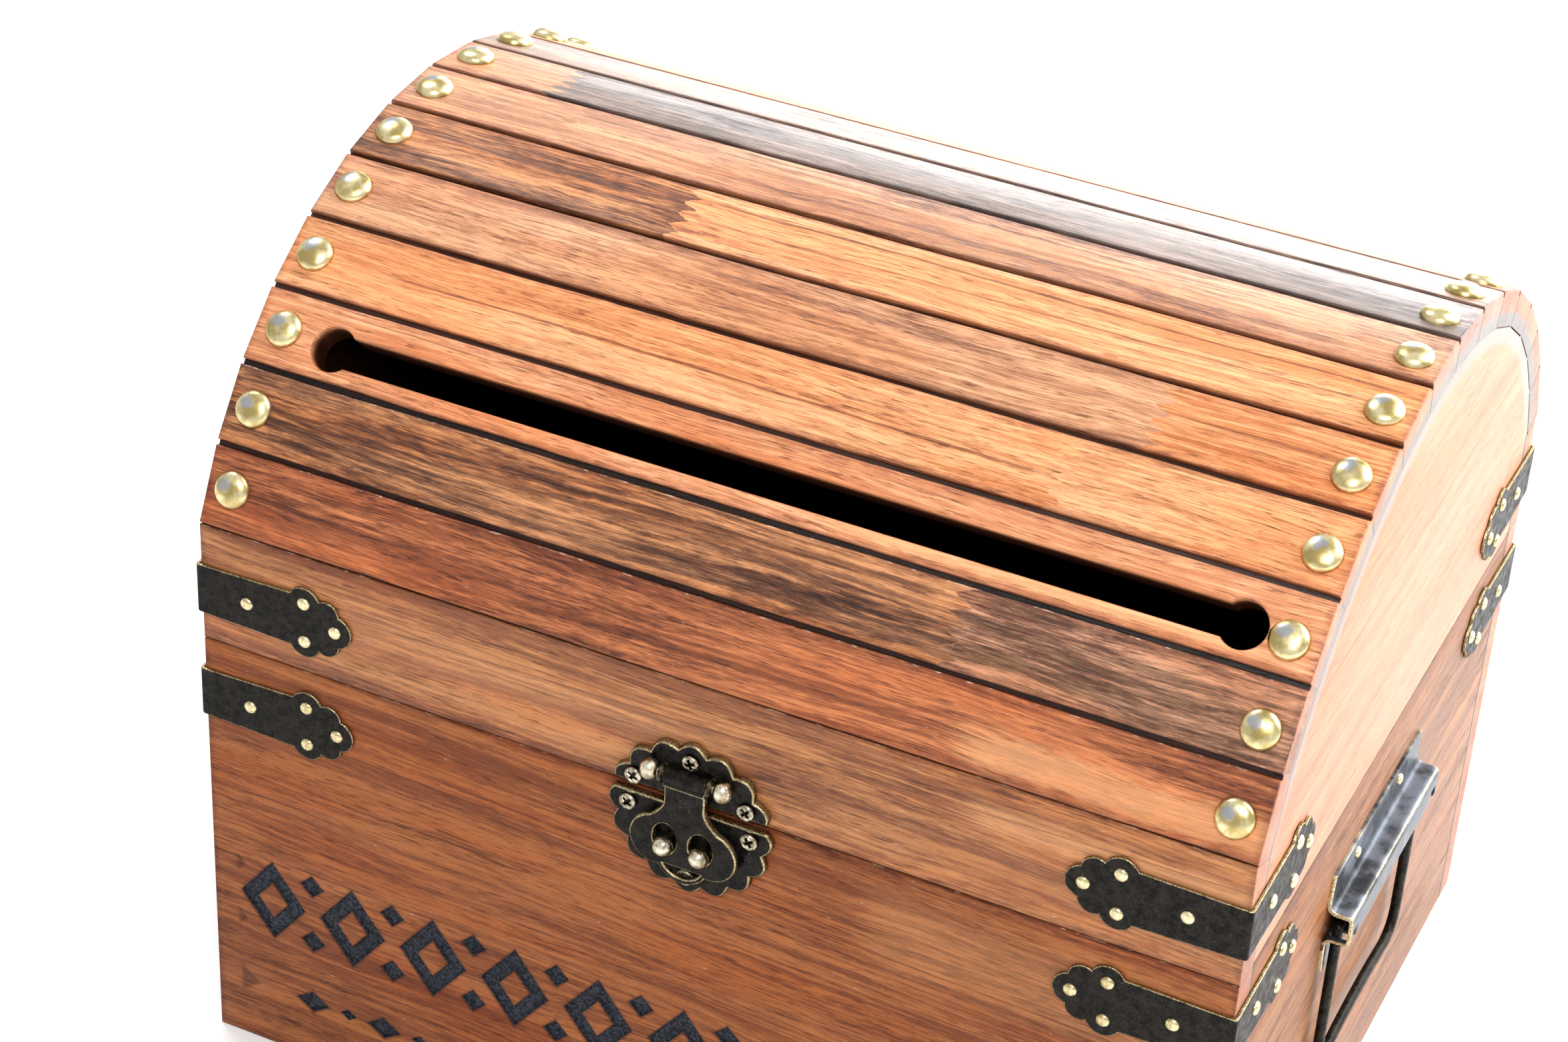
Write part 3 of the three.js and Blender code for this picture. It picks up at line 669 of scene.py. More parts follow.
# ---------------------------------------------------------------- wood
ORANGE = ("df9866", "b8703f")
BRIGHT = ("e7a474", "ca8857")
BROWN = ("c88a5c", "955c39")
RED = ("c67a4c", "92502f")
DARK = ("ca8c5c", "7d533a")
SMOKED = ("cc9676", "876348")
PEACH = ("e8a57a", "c58055")
TAN = ("d29a72", "a87452")
ASH = ("978a86", "625753")
GREY = ("b39a8c", "7b6558")
FRONT_TONE = ("9a5c33", "703b20")
RAIL_TONE = ("b67a4a", "87502e")
SIDE = ("905f37", "6e4428")
PALE = ("bf8260", "a86e4d")
BARE = ("d9b48a", "b98f62")
# painted shade for the sides of boards deep in their joints, slot and pockets
DEPTH_SHADE = (0.20, 0.155, 0.15, 1)
# dark tint for stains, fibre lines and pores, and for painted shade on lower rims
STAIN_AND_SHADE = (0.40, 0.31, 0.28, 1)


def wood_strips(g, u, v, base, seed, tones, seams):
    """The strips that finger joints and seams make: their tones, and a jump of the grain at each."""
    pair, patches = tones[0]
    light, dark, jump = tint(pair[0]), tint(pair[1]), 0.0
    for k, (pair, share, start) in enumerate(tones[1:]):
        finger = g.math("PINGPONG", v + (40.0 + k), 2.3) * 2.2
        ragged = g.noise(base, (0.3, 0.7, 0.7), seed + k) * 5.0
        past = (u + (finger + ragged)).step(start + 4.0, start + 4.6)
        light = g.blend(past, light, tint(pair[0]))
        dark = g.blend(past, dark, tint(pair[1]))
        patches = patches + past * (share - tones[k][1])
        jump = jump + past * 37.0
    for v0, slope in seams:
        jump = jump + g.math("GREATER_THAN", v, u * slope + v0) * 23.0
    return light, dark, patches, jump


def wood_streaks(g, colour, u, line, streak, fibre, streaks):
    """Long dark or pale streaks with ragged borders."""
    for u0, u1, v0, half, slope, strength in streaks:
        off = abs(line - u * slope - v0)
        mask = (off - (streak - 0.5) * (half * 3.2)).step(half * 1.15, half * 0.45)
        mask = mask * (u + fibre * 30.0).step(u0 + 10.0, u0 + 24.0) * u.step(u1 - 12.0, u1, 1.0, 0.0)
        if strength > 0:
            colour = g.darken(colour, mask * strength, (0.30, 0.22, 0.20, 1))
        else:
            colour = g.blend(mask * -strength, colour, tint("e2a673"))
    return colour


def wood_rims(g, colour, u, side, w, base, flame, seed, half_v, frays):
    """Stain gathers near the edges of a board. The upper rim is frayed pale, partly as a painted highlight,
    and the lower one is darkened as painted shade.
    """
    to_end = HALF_WIDTH - abs(u)
    near = g.math("MINIMUM", half_v - abs(side), to_end)
    gathered = (near + (flame - 0.5) * 5.0).step(2.6, 0.0)
    colour = g.darken(colour, gathered * 0.55, (0.42, 0.33, 0.30, 1))
    rim = w.step(-0.02, -0.2)
    frayed = g.noise(base, (0.35, 0.9, 0.9), seed + 7, 3.0).step(0.54, 0.68) * w.step(-1.2, -0.8)
    upper = side.step(0.0, 1.0) * to_end.step(0.5, 1.0) * frays
    # pale frayed fibres on the upper rim, which faces up: partly a painted highlight
    colour = g.blend(rim * frayed * upper, colour, tint("c9ab94"))
    # painted shade: the lower rim, which faces down, is darkened
    colour = g.darken(colour, rim * side.step(1.0, 0.0) * 0.6, STAIN_AND_SHADE)
    scratch = g.noise(base, (0.30, 3.0, 3.0), seed + 10)
    dust = scratch.step(0.735, 0.77) * flame.step(0.45, 0.55)
    return g.blend(dust * 0.6, colour, tint("e4dad2"))


def wood_ends(g, colour, face, u, w, flame, band):
    """The sawn ends: painted light near the face, grey below the band's depth."""
    sawn = abs(u).step(HALF_WIDTH - 0.3, HALF_WIDTH - 0.1)
    depth = w + (flame - 0.5) * 1.5
    # painted light on the ends' outer band
    lit = g.blend(0.35, face, tint("b87c62"))
    ends = g.blend(depth.step(-band - 0.8, 0.8 - band), tint("6f6865"), lit)
    return g.blend(sawn, colour, ends)


def wood_shadow_border(g, colour, u, v, flame):
    """A grey band on a lid's end board under the slats: painted shadow of the slats' ends, with some stain.
    """
    up = v - ARC_CENTRE_Z
    radius = (u * u + up * up) ** 0.5
    # painted shadow under the slats' ends, in a band along the curved edge
    border = (radius + flame * 1.6).step(115.4, 118.0) * v.step(160.0, 195.0)
    return g.blend(border * 0.75, colour, tint("8a807c"))


def wood(
    name, seed, tones, half_v, centre_v=0.0, streaks=(), seams=(), pores=0.8, contrast=1.0, frays=0.25,
    slant=0.0, end_band=None, curved_rim_shadow=False, charred=False, gloss=0.3, cut=(-0.9, -1.8, -2.6),
):
    """Stained wood over grain coordinates.

    tones: ((light, dark), share of dark patches), then u where it starts for each further strip.
    half_v, centre_v: half the board's height and its middle line.
    streaks: (u0, u1, v, half width, slope, strength), dark where the strength is positive.
    seams: (v, slope) of a glue line between two strips of the board.
    pores, contrast, frays: strength of the pores, of the figure and of the upper rim's pale frays.
    slant: slope of the grain against the board.
    pores, contrast, frays: strength of the pores, of the figure and of the upper rim's pale frayed fibres,
    partly a painted highlight.
    gloss: the varnish's specular level.
    cut: the depths where the painted shade on the board's sides starts, is full and is nearly black.
    """
    g = Graph(name)
    u, flat_v, w = g.split(g.attribute("grain"))
    v = flat_v + u * slant
    base = g.combine(u, v, w)
    wave = g.noise(base, (0.011, 0.05, 0.05), seed + 3) - 0.5
    light, dark, patches, jump = wood_strips(g, u, v, base, seed, tones, seams)
    along = g.combine(u + jump * 5.0, v + wave * 7.0 + jump, w)

    def layer(long, wide, shift, detail, rough=0.55):
        return g.noise(along, (long, wide, wide), seed + shift, detail, rough)

    bands = layer(0.004, 0.17, 0, 3.0)
    fibre = layer(0.022, 0.95, 1, 5.0, 0.72)
    fine = layer(0.13, 4.6, 2, 3.0, 0.65)
    dash = layer(0.13, 2.3, 4, 2.0, 0.6)
    patch = layer(0.013, 0.11, 5, 3.0)
    streak = layer(0.075, 0.75, 6, 7.0, 0.8)
    flame = layer(0.12, 0.33, 8, 4.0, 0.65)
    glow = layer(0.010, 0.06, 9, 1.0)

    figure = bands * 0.35 + fibre * 0.40 + (fine * 0.12 + flame * 0.13)
    colour = g.blend(figure.step(0.43, 0.57), dark, light)
    colour = g.darken(colour, glow.step(0.45, 0.62), (1.0, 0.87, 0.75, 1))
    lines = (fine * 0.6 + fibre * 0.4).step(0.56, 0.44)
    colour = g.darken(colour, lines * (0.5 * contrast), STAIN_AND_SHADE)

    # dark patches, broken up into streaks, with more of the short dark pores in them
    shade = patch * 0.42 + streak * 0.58
    over = shade - (0.655 - patches * 0.26)
    stain = over.step(-0.06, 0.06)
    colour = g.darken(colour, stain * (0.72 * contrast), STAIN_AND_SHADE)
    colour = g.darken(colour, over.step(0.02, 0.09) * (0.75 * contrast), STAIN_AND_SHADE)
    pore = (dash + (shade - 0.5) * 0.5).step(0.585, 0.66)
    colour = g.darken(colour, pore * pores, STAIN_AND_SHADE)

    colour = wood_streaks(g, colour, u, v + wave * 2.5, streak, fibre, streaks)
    for v0, slope in seams:
        shadow = abs(v - (u * slope + v0)).step(0.42, 0.12)
        colour = g.darken(colour, shadow * 0.5, (0.35, 0.26, 0.22, 1))
    face = wood_rims(g, colour, u, flat_v - centre_v, w, base, flame, seed, half_v, frays)
    # painted shade: the sides of joints, of the slot and of pockets darken with depth
    colour = g.darken(face, w.step(cut[0], cut[1]) * 0.85, DEPTH_SHADE)
    colour = g.darken(colour, w.step(cut[1], cut[2]) * 0.9, DEPTH_SHADE)
    if end_band is not None:
        colour = wood_ends(g, colour, face, u, w, flame, end_band)
    if curved_rim_shadow:
        colour = wood_shadow_border(g, colour, u, flat_v, flame)

    height = fibre * 0.6 + (fine * 0.3 + pore * -0.9)
    rough = stain * 0.08 + 0.34 + fibre * 0.16
    if charred:
        burnt, halo = frieze_masks(g, u, flat_v, w)
        ash = g.noise(base, 1.3, seed, 3.0, 0.7)
        coal = g.blend(ash.step(0.4, 0.65), tint("15161a"), tint("3a3d46"))
        colour = g.blend(burnt, g.darken(colour, halo, (0.30, 0.24, 0.22, 1)), coal)
        rough = rough + burnt * 0.4
        height = height + burnt * (ash * 2.0)
    return g.finish(colour, rough, 0.0, height, 0.12, 0.55, Specular_IOR_Level=gloss)


def frieze_masks(g, u, v, w):
    """Where the pockets of the frieze are burnt, and the brown halo round them."""

    def from_middle(pitch, left):
        return abs((u + (-left + pitch / 2 + 40 * pitch)) % pitch - pitch / 2)

    def lozenge_at(across, up, half_width, half_height):
        return across * (1 / half_width) + abs(up) * (1 / half_height)

    up = v - FRIEZE_Z
    across = from_middle(FRIEZE_PITCH, FRIEZE_LEFT)
    between = from_middle(FRIEZE_PITCH, FRIEZE_LEFT + FRIEZE_PITCH / 2)
    low = from_middle(2 * SMALL_PITCH, SMALL_LEFT)
    big = lozenge_at(across, up, FRIEZE_HALF_WIDTH, FRIEZE_HALF_HEIGHT)
    small = lozenge_at(between, abs(up) - SMALL_OFF, SMALL_HALF, SMALL_HALF)
    row = lozenge_at(low, v - SMALL_Z, SMALL_HALF * SMALL_STRETCH, SMALL_HALF)
    halo = big.step(1.14, 0.99) * big.step(FRIEZE_CORE - 0.14, FRIEZE_CORE + 0.01)
    halo = g.most(g.most(halo, small.step(1.45, 1.0)), row.step(1.45, 1.0))
    halo = halo * abs(u).step(143.0, 141.0) * 0.75
    burnt = w.step(-0.12, -0.3) * w.step(-1.6, -1.3)
    inner = abs(u).step(HALF_WIDTH - 1.5, HALF_WIDTH - 2.5)
    return burnt * (inner * (v.step(2.0, 3.0) * v.step(BOX_TOP - 2.0, BOX_TOP - 3.0))), halo


# ---------------------------------------------------------------- metals
PATINA = ("0e0d0c", "2a2723")
# the handles' patina, lightened blue-grey: partly their own patina, partly a painted sheen
PATINA_AND_PAINTED_SHEEN = ("2b2e33", "60656e")
BAIL_PATINA = ("0c0b0a", "2b2822")
DULL_RIM = ("6e5f45", "bfae88")
BRIGHT_RIM = ("8c7c5c", "ddd0ac")
CREAM = ("a5915f", "e6d8b0")


def bronze(name, seed, wear=1.0, dark=PATINA, rim=DULL_RIM, sheen=0.35, fine=0.4, clouds=0.35):
    """Dark patina with brass showing on the rims.

    fine is the share of small specks in it, and clouds the number of larger ones in a millimetre.
    """
    g = Graph(name)
    grain = g.attribute("grain")
    cloud = g.noise(grain, clouds, seed, 4.0, 0.65)
    speck = g.noise(grain, 2.4, seed + 2, 3.0, 0.6)
    mottle = cloud * (1 - fine) + speck * fine
    patina = g.blend(mottle.step(0.38, 0.62), tint(dark[0]), tint(dark[1]))
    worn = (g.attribute("edge", "Fac") + (cloud - 0.5) * 0.5).step(0.74, 0.97)
    worn = g.most(worn, speck.step(0.68, 0.76, 0.0, 0.35)) * wear
    metal = g.blend(speck.step(0.35, 0.65), tint(rim[0]), tint(rim[1]))
    colour = g.blend(worn, patina, metal)
    rough = cloud.step(0.35, 0.65, 0.26, 0.5) + worn * -0.04
    height = cloud * (4 * fine) + speck * (1.5 * fine)
    fixed = dict(Specular_IOR_Level=0.3, Specular_Tint=(sheen, sheen, sheen, 1))
    return g.finish(colour, rough, worn.step(0.0, 1.0, 0.55, 1.0), height, 0.16, 0.6, **fixed)


def brass(name, seed, tones, rough=0.28, grain_size=1.5):
    """Mottled brass, from tarnish to bright."""
    g = Graph(name)
    grain = g.attribute("grain")
    cloud = g.noise(grain, 0.3, seed, 3.0, 0.6)
    speck = g.noise(grain, grain_size, seed + 2, 3.0, 0.6)
    share = (cloud * 0.5 + speck * 0.5).step(0.36, 0.62)
    colour = g.blend(share, tint(tones[0]), tint(tones[1]))
    dull = speck.step(0.4, 0.7, rough, rough + 0.16)
    return g.finish(colour, dull, 1.0, cloud + speck * 0.4, 0.12, 0.5)


def nail_brass():
    """The smooth domed nails: straw gold, with one bluish grey patch on each, above and left of its middle.
    """
    g = Graph("antique_brass_nails")
    grain = g.attribute("grain")
    u, v, w = g.split(grain)
    cloud = g.noise(grain, 0.22, 5.0)
    speck = g.noise(grain, 2.2, 7.0, 3.0, 0.6)
    colour = g.blend(cloud.step(0.38, 0.62), tint("b5a066"), tint("e4d6a6"))
    colour = g.darken(colour, speck.step(0.6, 0.72, 0.0, 0.35), (0.72, 0.68, 0.55, 1))
    # each nail's own middle is a whole number of pitches along u
    half = NAIL_GRAIN_PITCH / 2
    along = (u + half) % NAIL_GRAIN_PITCH - half
    off = ((along + 1.3) ** 2.0 + (v - 1.4) ** 2.0) ** 0.5
    off = off + (g.noise(grain, 0.6, 2.0) - 0.5) * 3.5
    colour = g.blend(off.step(2.2, 1.3) * 0.85, colour, tint("a9adb6"))
    colour = g.darken(colour, w.step(0.9, 0.1) * 0.7, (0.45, 0.40, 0.26, 1))
    return g.finish(colour, speck.step(0.4, 0.7, 0.27, 0.33), 1.0, cloud, 0.05, 0.3)


def steel(name, seed):
    """Bright steel, with painted shade in the recess of a screw."""
    g = Graph(name)
    grain = g.attribute("grain")
    speck = g.noise(grain, 0.9, seed, 2.0, 0.5)
    colour = g.blend(speck.step(0.4, 0.65), tint("857a66"), tint("cfc8b4"))
    # painted shade: darker with depth in the cross recess
    colour = g.darken(colour, g.split(grain)[2].step(-0.5, -0.8), (0.05, 0.045, 0.04, 1))
    return g.finish(colour, speck.step(0.4, 0.7, 0.22, 0.4), 1.0, speck, 0.08, 0.4)


# ---------------------------------------------------------------- boards
def stained(name, shape, body, seed, tones, **look):
    """A stained board that stands for the CAD node of its name."""
    material = wood(f"stained_wood_{name}", seed, tones, **look)
    make(f"wood_{name}", shape, body, [material], [name])


def wander(x, seed, size, pace=0.03):
    """A smooth random offset along a board's edge."""
    slow = noise.noise(Vector((x * pace, seed * 7.31, 0.5)))
    quick = noise.noise(Vector((x * pace * 9, seed * 3.17, 8.5)))
    return size * (slow + 0.35 * quick)


def plank_outline(low, high, seed, size=0.25, spacing=4.0):
    """A long board's outline with edges that are not quite straight."""
    count = round(2 * HALF_WIDTH / spacing)
    us = [-HALF_WIDTH + 2 * HALF_WIDTH * k / count for k in range(count + 1)]
    bottom = [(u, low - wander(u, seed, size)) for u in us]
    top = [(u, high + wander(u, seed + 50, size)) for u in reversed(us)]
    return bottom + top


def slot_outline():
    """The paper slot: a long groove with a drilled hole at each end."""
    groove = rectangle(SLOT_LEFT, SLOT_RIGHT, SLOT_V - SLOT_HALF_WIDTH, SLOT_V + SLOT_HALF_WIDTH)
    holes = [circle(x, SLOT_V, SLOT_HOLE_RADIUS, 40) for x in (SLOT_LEFT, SLOT_RIGHT)]
    return union([groove, *holes])


def frieze_pockets():
    pockets = []
    for k in range(FRIEZE_COUNT):
        x = FRIEZE_LEFT + k * FRIEZE_PITCH
        for size in (1, FRIEZE_CORE):
            pockets.append(lozenge(x, FRIEZE_Z, FRIEZE_HALF_WIDTH * size, FRIEZE_HALF_HEIGHT * size))
        if k:
            for z in (FRIEZE_Z + SMALL_OFF, FRIEZE_Z - SMALL_OFF):
                pockets.append(lozenge(x - FRIEZE_PITCH / 2, z, SMALL_HALF, SMALL_HALF))
    for k in range(SMALL_COUNT):
        half = SMALL_HALF / 2 if k % 2 else SMALL_HALF
        pockets.append(lozenge(SMALL_LEFT + k * SMALL_PITCH, SMALL_Z, half * SMALL_STRETCH, half))
    return pockets


# tones and streaks of each slat, from the front rail upwards
SLAT_LOOKS = [
    dict(
        tones=[(RED, 0.45)],
        streaks=[(-60, 110, -4.0, 1.2, 0.02, 0.4), (70, 200, -4.0, 6.0, 0.0, -0.45)],
        contrast=0.8,
        frays=0.8,
    ),
    dict(
        tones=[(DARK, 0.58), (SMOKED, 0.65, 62)],
        streaks=[(-60, 60, 5.5, 1.2, 0.03, 0.8), (-30, 66, -3.5, 1.5, 0.05, 0.8)],
        frays=0.8,
    ),
    dict(
        tones=[(PEACH, 0.15)],
        streaks=[(-140, 60, 7.6, 0.25, 0.0, 0.5), (20, 150, -6.5, 1.4, 0.0, -0.5)],
        contrast=0.7,
        # the painted shade starts deeper on the slot's walls
        cut=(-1.2, -2.4, -4.0),
    ),
    dict(tones=[(BRIGHT, 0.2), (BRIGHT, 0.1, 75)], streaks=[(-120, 75, -1.0, 0.5, -0.004, 0.8)]),
    dict(
        tones=[(TAN, 0.3), (ORANGE, 0.2, 92)],
        streaks=[(-40, 60, 5.0, 1.2, 0.0, 0.6), (90, 150, 2.0, 0.6, 0.0, 0.5)],
    ),
    dict(
        tones=[(DARK, 0.7), (BRIGHT, 0.1, -52)],
        streaks=[(-50, 150, 6.0, 0.5, 0.0, 0.8), (-50, 150, -1.0, 0.35, 0.01, 0.7)],
    ),
    dict(
        tones=[(TAN, 0.2), (TAN, 0.35, -99)],
        streaks=[(-40, 130, -4.0, 1.6, 0.0, 0.5), (-100, 150, 6.0, 0.4, 0.0, 0.6)],
        gloss=0.5,
    ),
    dict(tones=[(TAN, 0.2), (ASH, 0.45, -112)], streaks=[(-100, 150, 2.0, 2.5, 0.0, 0.3)], gloss=0.5),
    dict(tones=[(GREY, 0.3)], gloss=0.5),
    dict(tones=[(ORANGE, 0.25), (BROWN, 0.5, 20)]),
    dict(tones=[(DARK, 0.7), (ORANGE, 0.3, -40)]),
    dict(tones=[(BRIGHT, 0.2)]),
    dict(tones=[(BROWN, 0.6), (RED, 0.4, 70)]),
    dict(tones=[(RED, 0.5)]),
]


def tongue(low, high):
    """A strip along one side of a slat that closes the joint below its surface, painted dark as shade."""
    end = HALF_WIDTH - 0.05
    strip = carve(rectangle(-end, end, low, high), TONGUE_TOP - TONGUE_BOTTOM, rim=0.05)
    # its grain sits deep, so the depth shading paints it as shade in the joint
    return strip.to(at(0, 0, TONGUE_TOP)).shift_grain(w=TONGUE_TOP - 2.2)


def build_slats():
    lean = math.tan(SLAT_ANGLE / 2)
    half = SLAT_FACE * lean

    def taper(p):
        v = p[:, 1]
        share = np.where(np.abs(v) > half - 2, 1.0, 0.0)
        return moved(p, 1, np.sign(v) * share * p[:, 2] * lean)

    for k, look in enumerate(SLAT_LOOKS):
        above = GAP if k == SLAT_COUNT - 1 else SLAT_JOINT
        low = -half + (SLAT_JOINT if k else GAP) / 2
        high = half - above / 2
        holes = [slot_outline()] if k == SLOT_SLAT else []
        shape = carve(plank_outline(low, high, k + 1), BOARD, holes=holes, rim=0.7, steps=4)
        if k < SLAT_COUNT - 1:
            shape.join(tongue(high - 0.6, high + above + 0.05))
        if k == 0:
            shape.join(tongue(low - 0.45, low + 0.6))
        shape.bend(taper).to(slat_frame(k))
        name = "slot_slat" if k == SLOT_SLAT else f"slat_{k + 1:02d}"
        # depth of the painted light on this slat's sawn ends
        band = max(6.0, 9.0 - 1.5 * k)
        stained(name, shape, "lid", 11.0 * (k + 1), half_v=high, slant=0.004, end_band=band, **look)


def first_joint_z(distance):
    return ARC_CENTRE_Z + distance * math.tan(FIRST_JOINT)


RAIL_STREAKS = [
    (75, 200, 163.0, 5.0, 0.03, -0.3),
    (10, 125, 150.0, 8.0, 0.03, 0.25),
    (-150, 20, 158.0, 6.0, 0.03, -0.15),
]


def build_rails():
    high = first_joint_z(HALF_DEPTH) - GAP
    shared = dict(half_v=(high - LID_BOTTOM) / 2, centre_v=(high + LID_BOTTOM) / 2)
    shared.update(contrast=0.7, slant=0.02, end_band=9.0, frays=0.6)

    def slope(p):
        share = (p[:, 1] - LID_BOTTOM) / (high - LID_BOTTOM)
        return moved(p, 1, share * p[:, 2] * math.tan(FIRST_JOINT))

    for name, face, seed, tone, seam, streaks in (
        ("lid_front_rail", FRONT, 31, RAIL_TONE, (162.7, 0.048), RAIL_STREAKS),
        ("lid_back_rail", BACK, 32, BROWN, (152, 0.01), []),
    ):
        shape = carve(plank_outline(LID_BOTTOM, high, seed, 0.12), BOARD, rim=0.5).bend(slope).to(face)
        stained(name, shape, "lid", seed * 3.3, [(tone, 0.45)], seams=[seam], streaks=streaks, **shared)


def end_outline():
    """The D-shaped end board, between the rails and under the slats."""
    inside_y = HALF_DEPTH - BOARD - GAP
    face = SLAT_FACE - BOARD - GAP
    radius = face / math.cos(SLAT_ANGLE / 2)
    slope = FIRST_JOINT + SLAT_ANGLE / 2
    shoulder = ARC_CENTRE_Z + (face - inside_y * math.cos(slope)) / math.sin(slope)
    points = [(-inside_y, LID_BOTTOM), (inside_y, LID_BOTTOM), (inside_y, shoulder)]
    for k in range(SLAT_COUNT - 1, 0, -1):
        angle = FIRST_JOINT + k * SLAT_ANGLE
        points.append((-radius * math.cos(angle), ARC_CENTRE_Z + radius * math.sin(angle)))
    return points + [(-inside_y, shoulder)]


def build_ends():
    look = dict(half_v=70, centre_v=190, pores=0.4, contrast=0.5, seams=[(205, 0.02)], curved_rim_shadow=True)
    for side, face, seed in (("right", RIGHT, 41), ("left", LEFT, 42)):
        shape = carve(end_outline(), END_BOARD, rim=0.4).to(face)
        stained(f"lid_{side}_end", shape, "lid", seed, [(PALE, 0.1)], **look)


def build_box():
    middle = dict(half_v=BOX_TOP / 2, centre_v=BOX_TOP / 2, gloss=0.15)
    long = dict(contrast=0.6, slant=0.03, end_band=9.0, **middle)
    shape = carve(
        plank_outline(0, BOX_TOP, 51, 0.1), BOARD, pockets=frieze_pockets(), depth=FRIEZE_DEPTH, rim=0.5
    )
    front = dict(seams=[(111, 0.0)], streaks=[(50, 200, 120.0, 14.0, 0.0, -0.14)], charred=True)
    stained("front_board", shape.to(FRONT), "box", 51 * 2.7, [(FRONT_TONE, 0.35)], **front, **long)
    shape = carve(plank_outline(0, BOX_TOP, 52, 0.1), BOARD, rim=0.5).to(BACK)
    stained("back_board", shape, "box", 52 * 2.7, [(BROWN, 0.5)], seams=[(74, 0.01)], **long)
    half = HALF_DEPTH - BOARD - GAP
    short = dict(contrast=0.55, seams=[(80, 0.0)], **middle)
    for side, face, seed in (("right", RIGHT, 53), ("left", LEFT, 54)):
        shape = carve(rectangle(-half, half, 0, BOX_TOP), BOARD, rim=0.4).to(face)
        stained(f"{side}_side", shape, "box", seed * 1.9, [(SIDE, 0.35)], **short)
    wide = HALF_WIDTH - BOARD - GAP
    shape = carve(rectangle(-wide, wide, -half, half), BOTTOM_BOARD, rim=0.3).to(UNDER)
    material = wood("plain_wood_bottom", 7.7, [(BARE, 0.1)], half)
    make("wood_bottom_board", shape, "box", [material], ["bottom_board"])


# ---------------------------------------------------------------- nails
def dome(radius, height, sunk=0.4, rows=7):
    profile = [(radius * 0.9, -sunk), (radius, 0.0), (radius * 0.985, height * 0.16)]
    for k in range(1, rows + 1):
        turn = math.pi / 2 * k / rows
        profile.append((radius * 0.96 * math.cos(turn), height * (0.22 + 0.78 * math.sin(turn))))
    return profile


def build_nails():
    material = nail_brass()
    inset = HALF_WIDTH - NAIL_INSET
    for side, u, drop in (("left", -inset, 0.0), ("right", inset, RIGHT_NAIL_DROP)):
        row = Shape()
        for k in range(SLAT_COUNT):
            du, dv, tip = [noise.noise(Vector((k * 1.7, u, w))) for w in (0.3, 9.3, 5.3)]
            lean = Matrix.Rotation(0.05 * tip, 4, "X") @ Matrix.Rotation(0.05 * tip, 4, "Y")
            nail = turned(dome(NAIL_RADIUS, NAIL_HEIGHT), 32).shift_grain(NAIL_GRAIN_PITCH * (k + 1))
            row.join(nail.to(slat_frame(k) @ at(u + 0.7 * du, 0.7 * dv - drop, 0) @ lean))
        make(f"nails_{side}", row, "lid", [material])


# ---------------------------------------------------------------- straps
def fitting(node, shape, body, slot, *looks):
    """A metal part that stands for the CAD node of its name."""
    make(f"metal_{node}", shape, body, list(looks), [node])


def strap_outline():
    """Both legs of a strap laid flat, with the corner at u = 0."""
    (start, half0), (end, half1) = STRAP_BAND
    shapes = []
    for side in (-1, 1):
        inner, outer = side * (start - 1), side * end
        band = [(inner, -half0), (outer, -half1), (outer, half1), (inner, half0)]
        shapes.append(band if signed_area(band) > 0 else band[::-1])
        shapes += [circle(side * u, v, r, 36) for u, v, r in STRAP_LOBES]
    return divided(union(shapes), 0.7)


def fold_lines(place):
    """Grid lines close together across a fold."""
    return np.arange(place - FOLD_SPREAD, place + FOLD_SPREAD + 0.01, FOLD_STEP)


def build_straps():
    outline = strap_outline()
    us = np.concatenate([np.arange(-47.7, -1.8, FLAT_STEP), fold_lines(0), np.arange(2.2, 48, FLAT_STEP)])
    vs = np.arange(-11, 11.1, FLAT_STEP)
    dark = bronze("dark_bronze_straps", 3.0)
    cream = brass("pin_brass", 9.0, CREAM)
    x, y = HALF_WIDTH + GAP + STRAP_SHEET, HALF_DEPTH + GAP + STRAP_SHEET
    reach = STRAP_TIP + 4
    path = Path([(x - reach, y), (x, y), (x, y - reach)], STRAP_FOLD_RADIUS)
    middle = path.run[-1] / 2
    pins = {"lid": Shape(), "box": Shape()}
    spots = [(body, end, side) for body in STRAP_Z for end in ("left", "right") for side in ("front", "back")]
    for seed, (body, end, side) in enumerate(spots, 1):
        sx = -1 if end == "left" else 1
        sy = -1 if side == "front" else 1

        def wrap(p):
            # the fold's path goes round the corner of the first quadrant
            x, y = path.at(middle + p[:, 0], p[:, 2])
            return np.column_stack([sx * x, sy * y, STRAP_Z[body] + p[:, 1]])

        strap = carve(outline, STRAP_SHEET, rim=0.28, spacing=FLAT_STEP, lines=(us, vs), reach=1.3)
        strap.bend(wrap).shift_grain(70.0 * seed, 31.0 * seed)
        fitting(f"{body}_strap_{side}_{end}", strap, body, "dark_bronze", dark)
        for leg in (-1, 1):
            for u, v in STRAP_PINS:
                pin = turned(dome(STRAP_PIN_RADIUS, PIN_HEIGHT, 0.2, 5), 20)
                pin.bend(lambda p: wrap(p + (leg * u, v, 0.0)))
                pins[body].join(pin.shift_grain(9.0 * seed + u, 5.0 * leg))
    for body, shape in pins.items():
        make(f"{body}_strap_pins", shape, body, [cream])


# ---------------------------------------------------------------- latch
def scalloped():
    steps = LATCH_LOBES * 12
    loop = []
    for k in range(steps):
        angle = TAU * k / steps
        radius = LATCH_RADIUS + LATCH_LOBE * abs(math.cos(LATCH_LOBES / 2 * angle))
        loop.append((radius * math.cos(angle), LATCH_Z + radius * math.sin(angle)))
    return loop


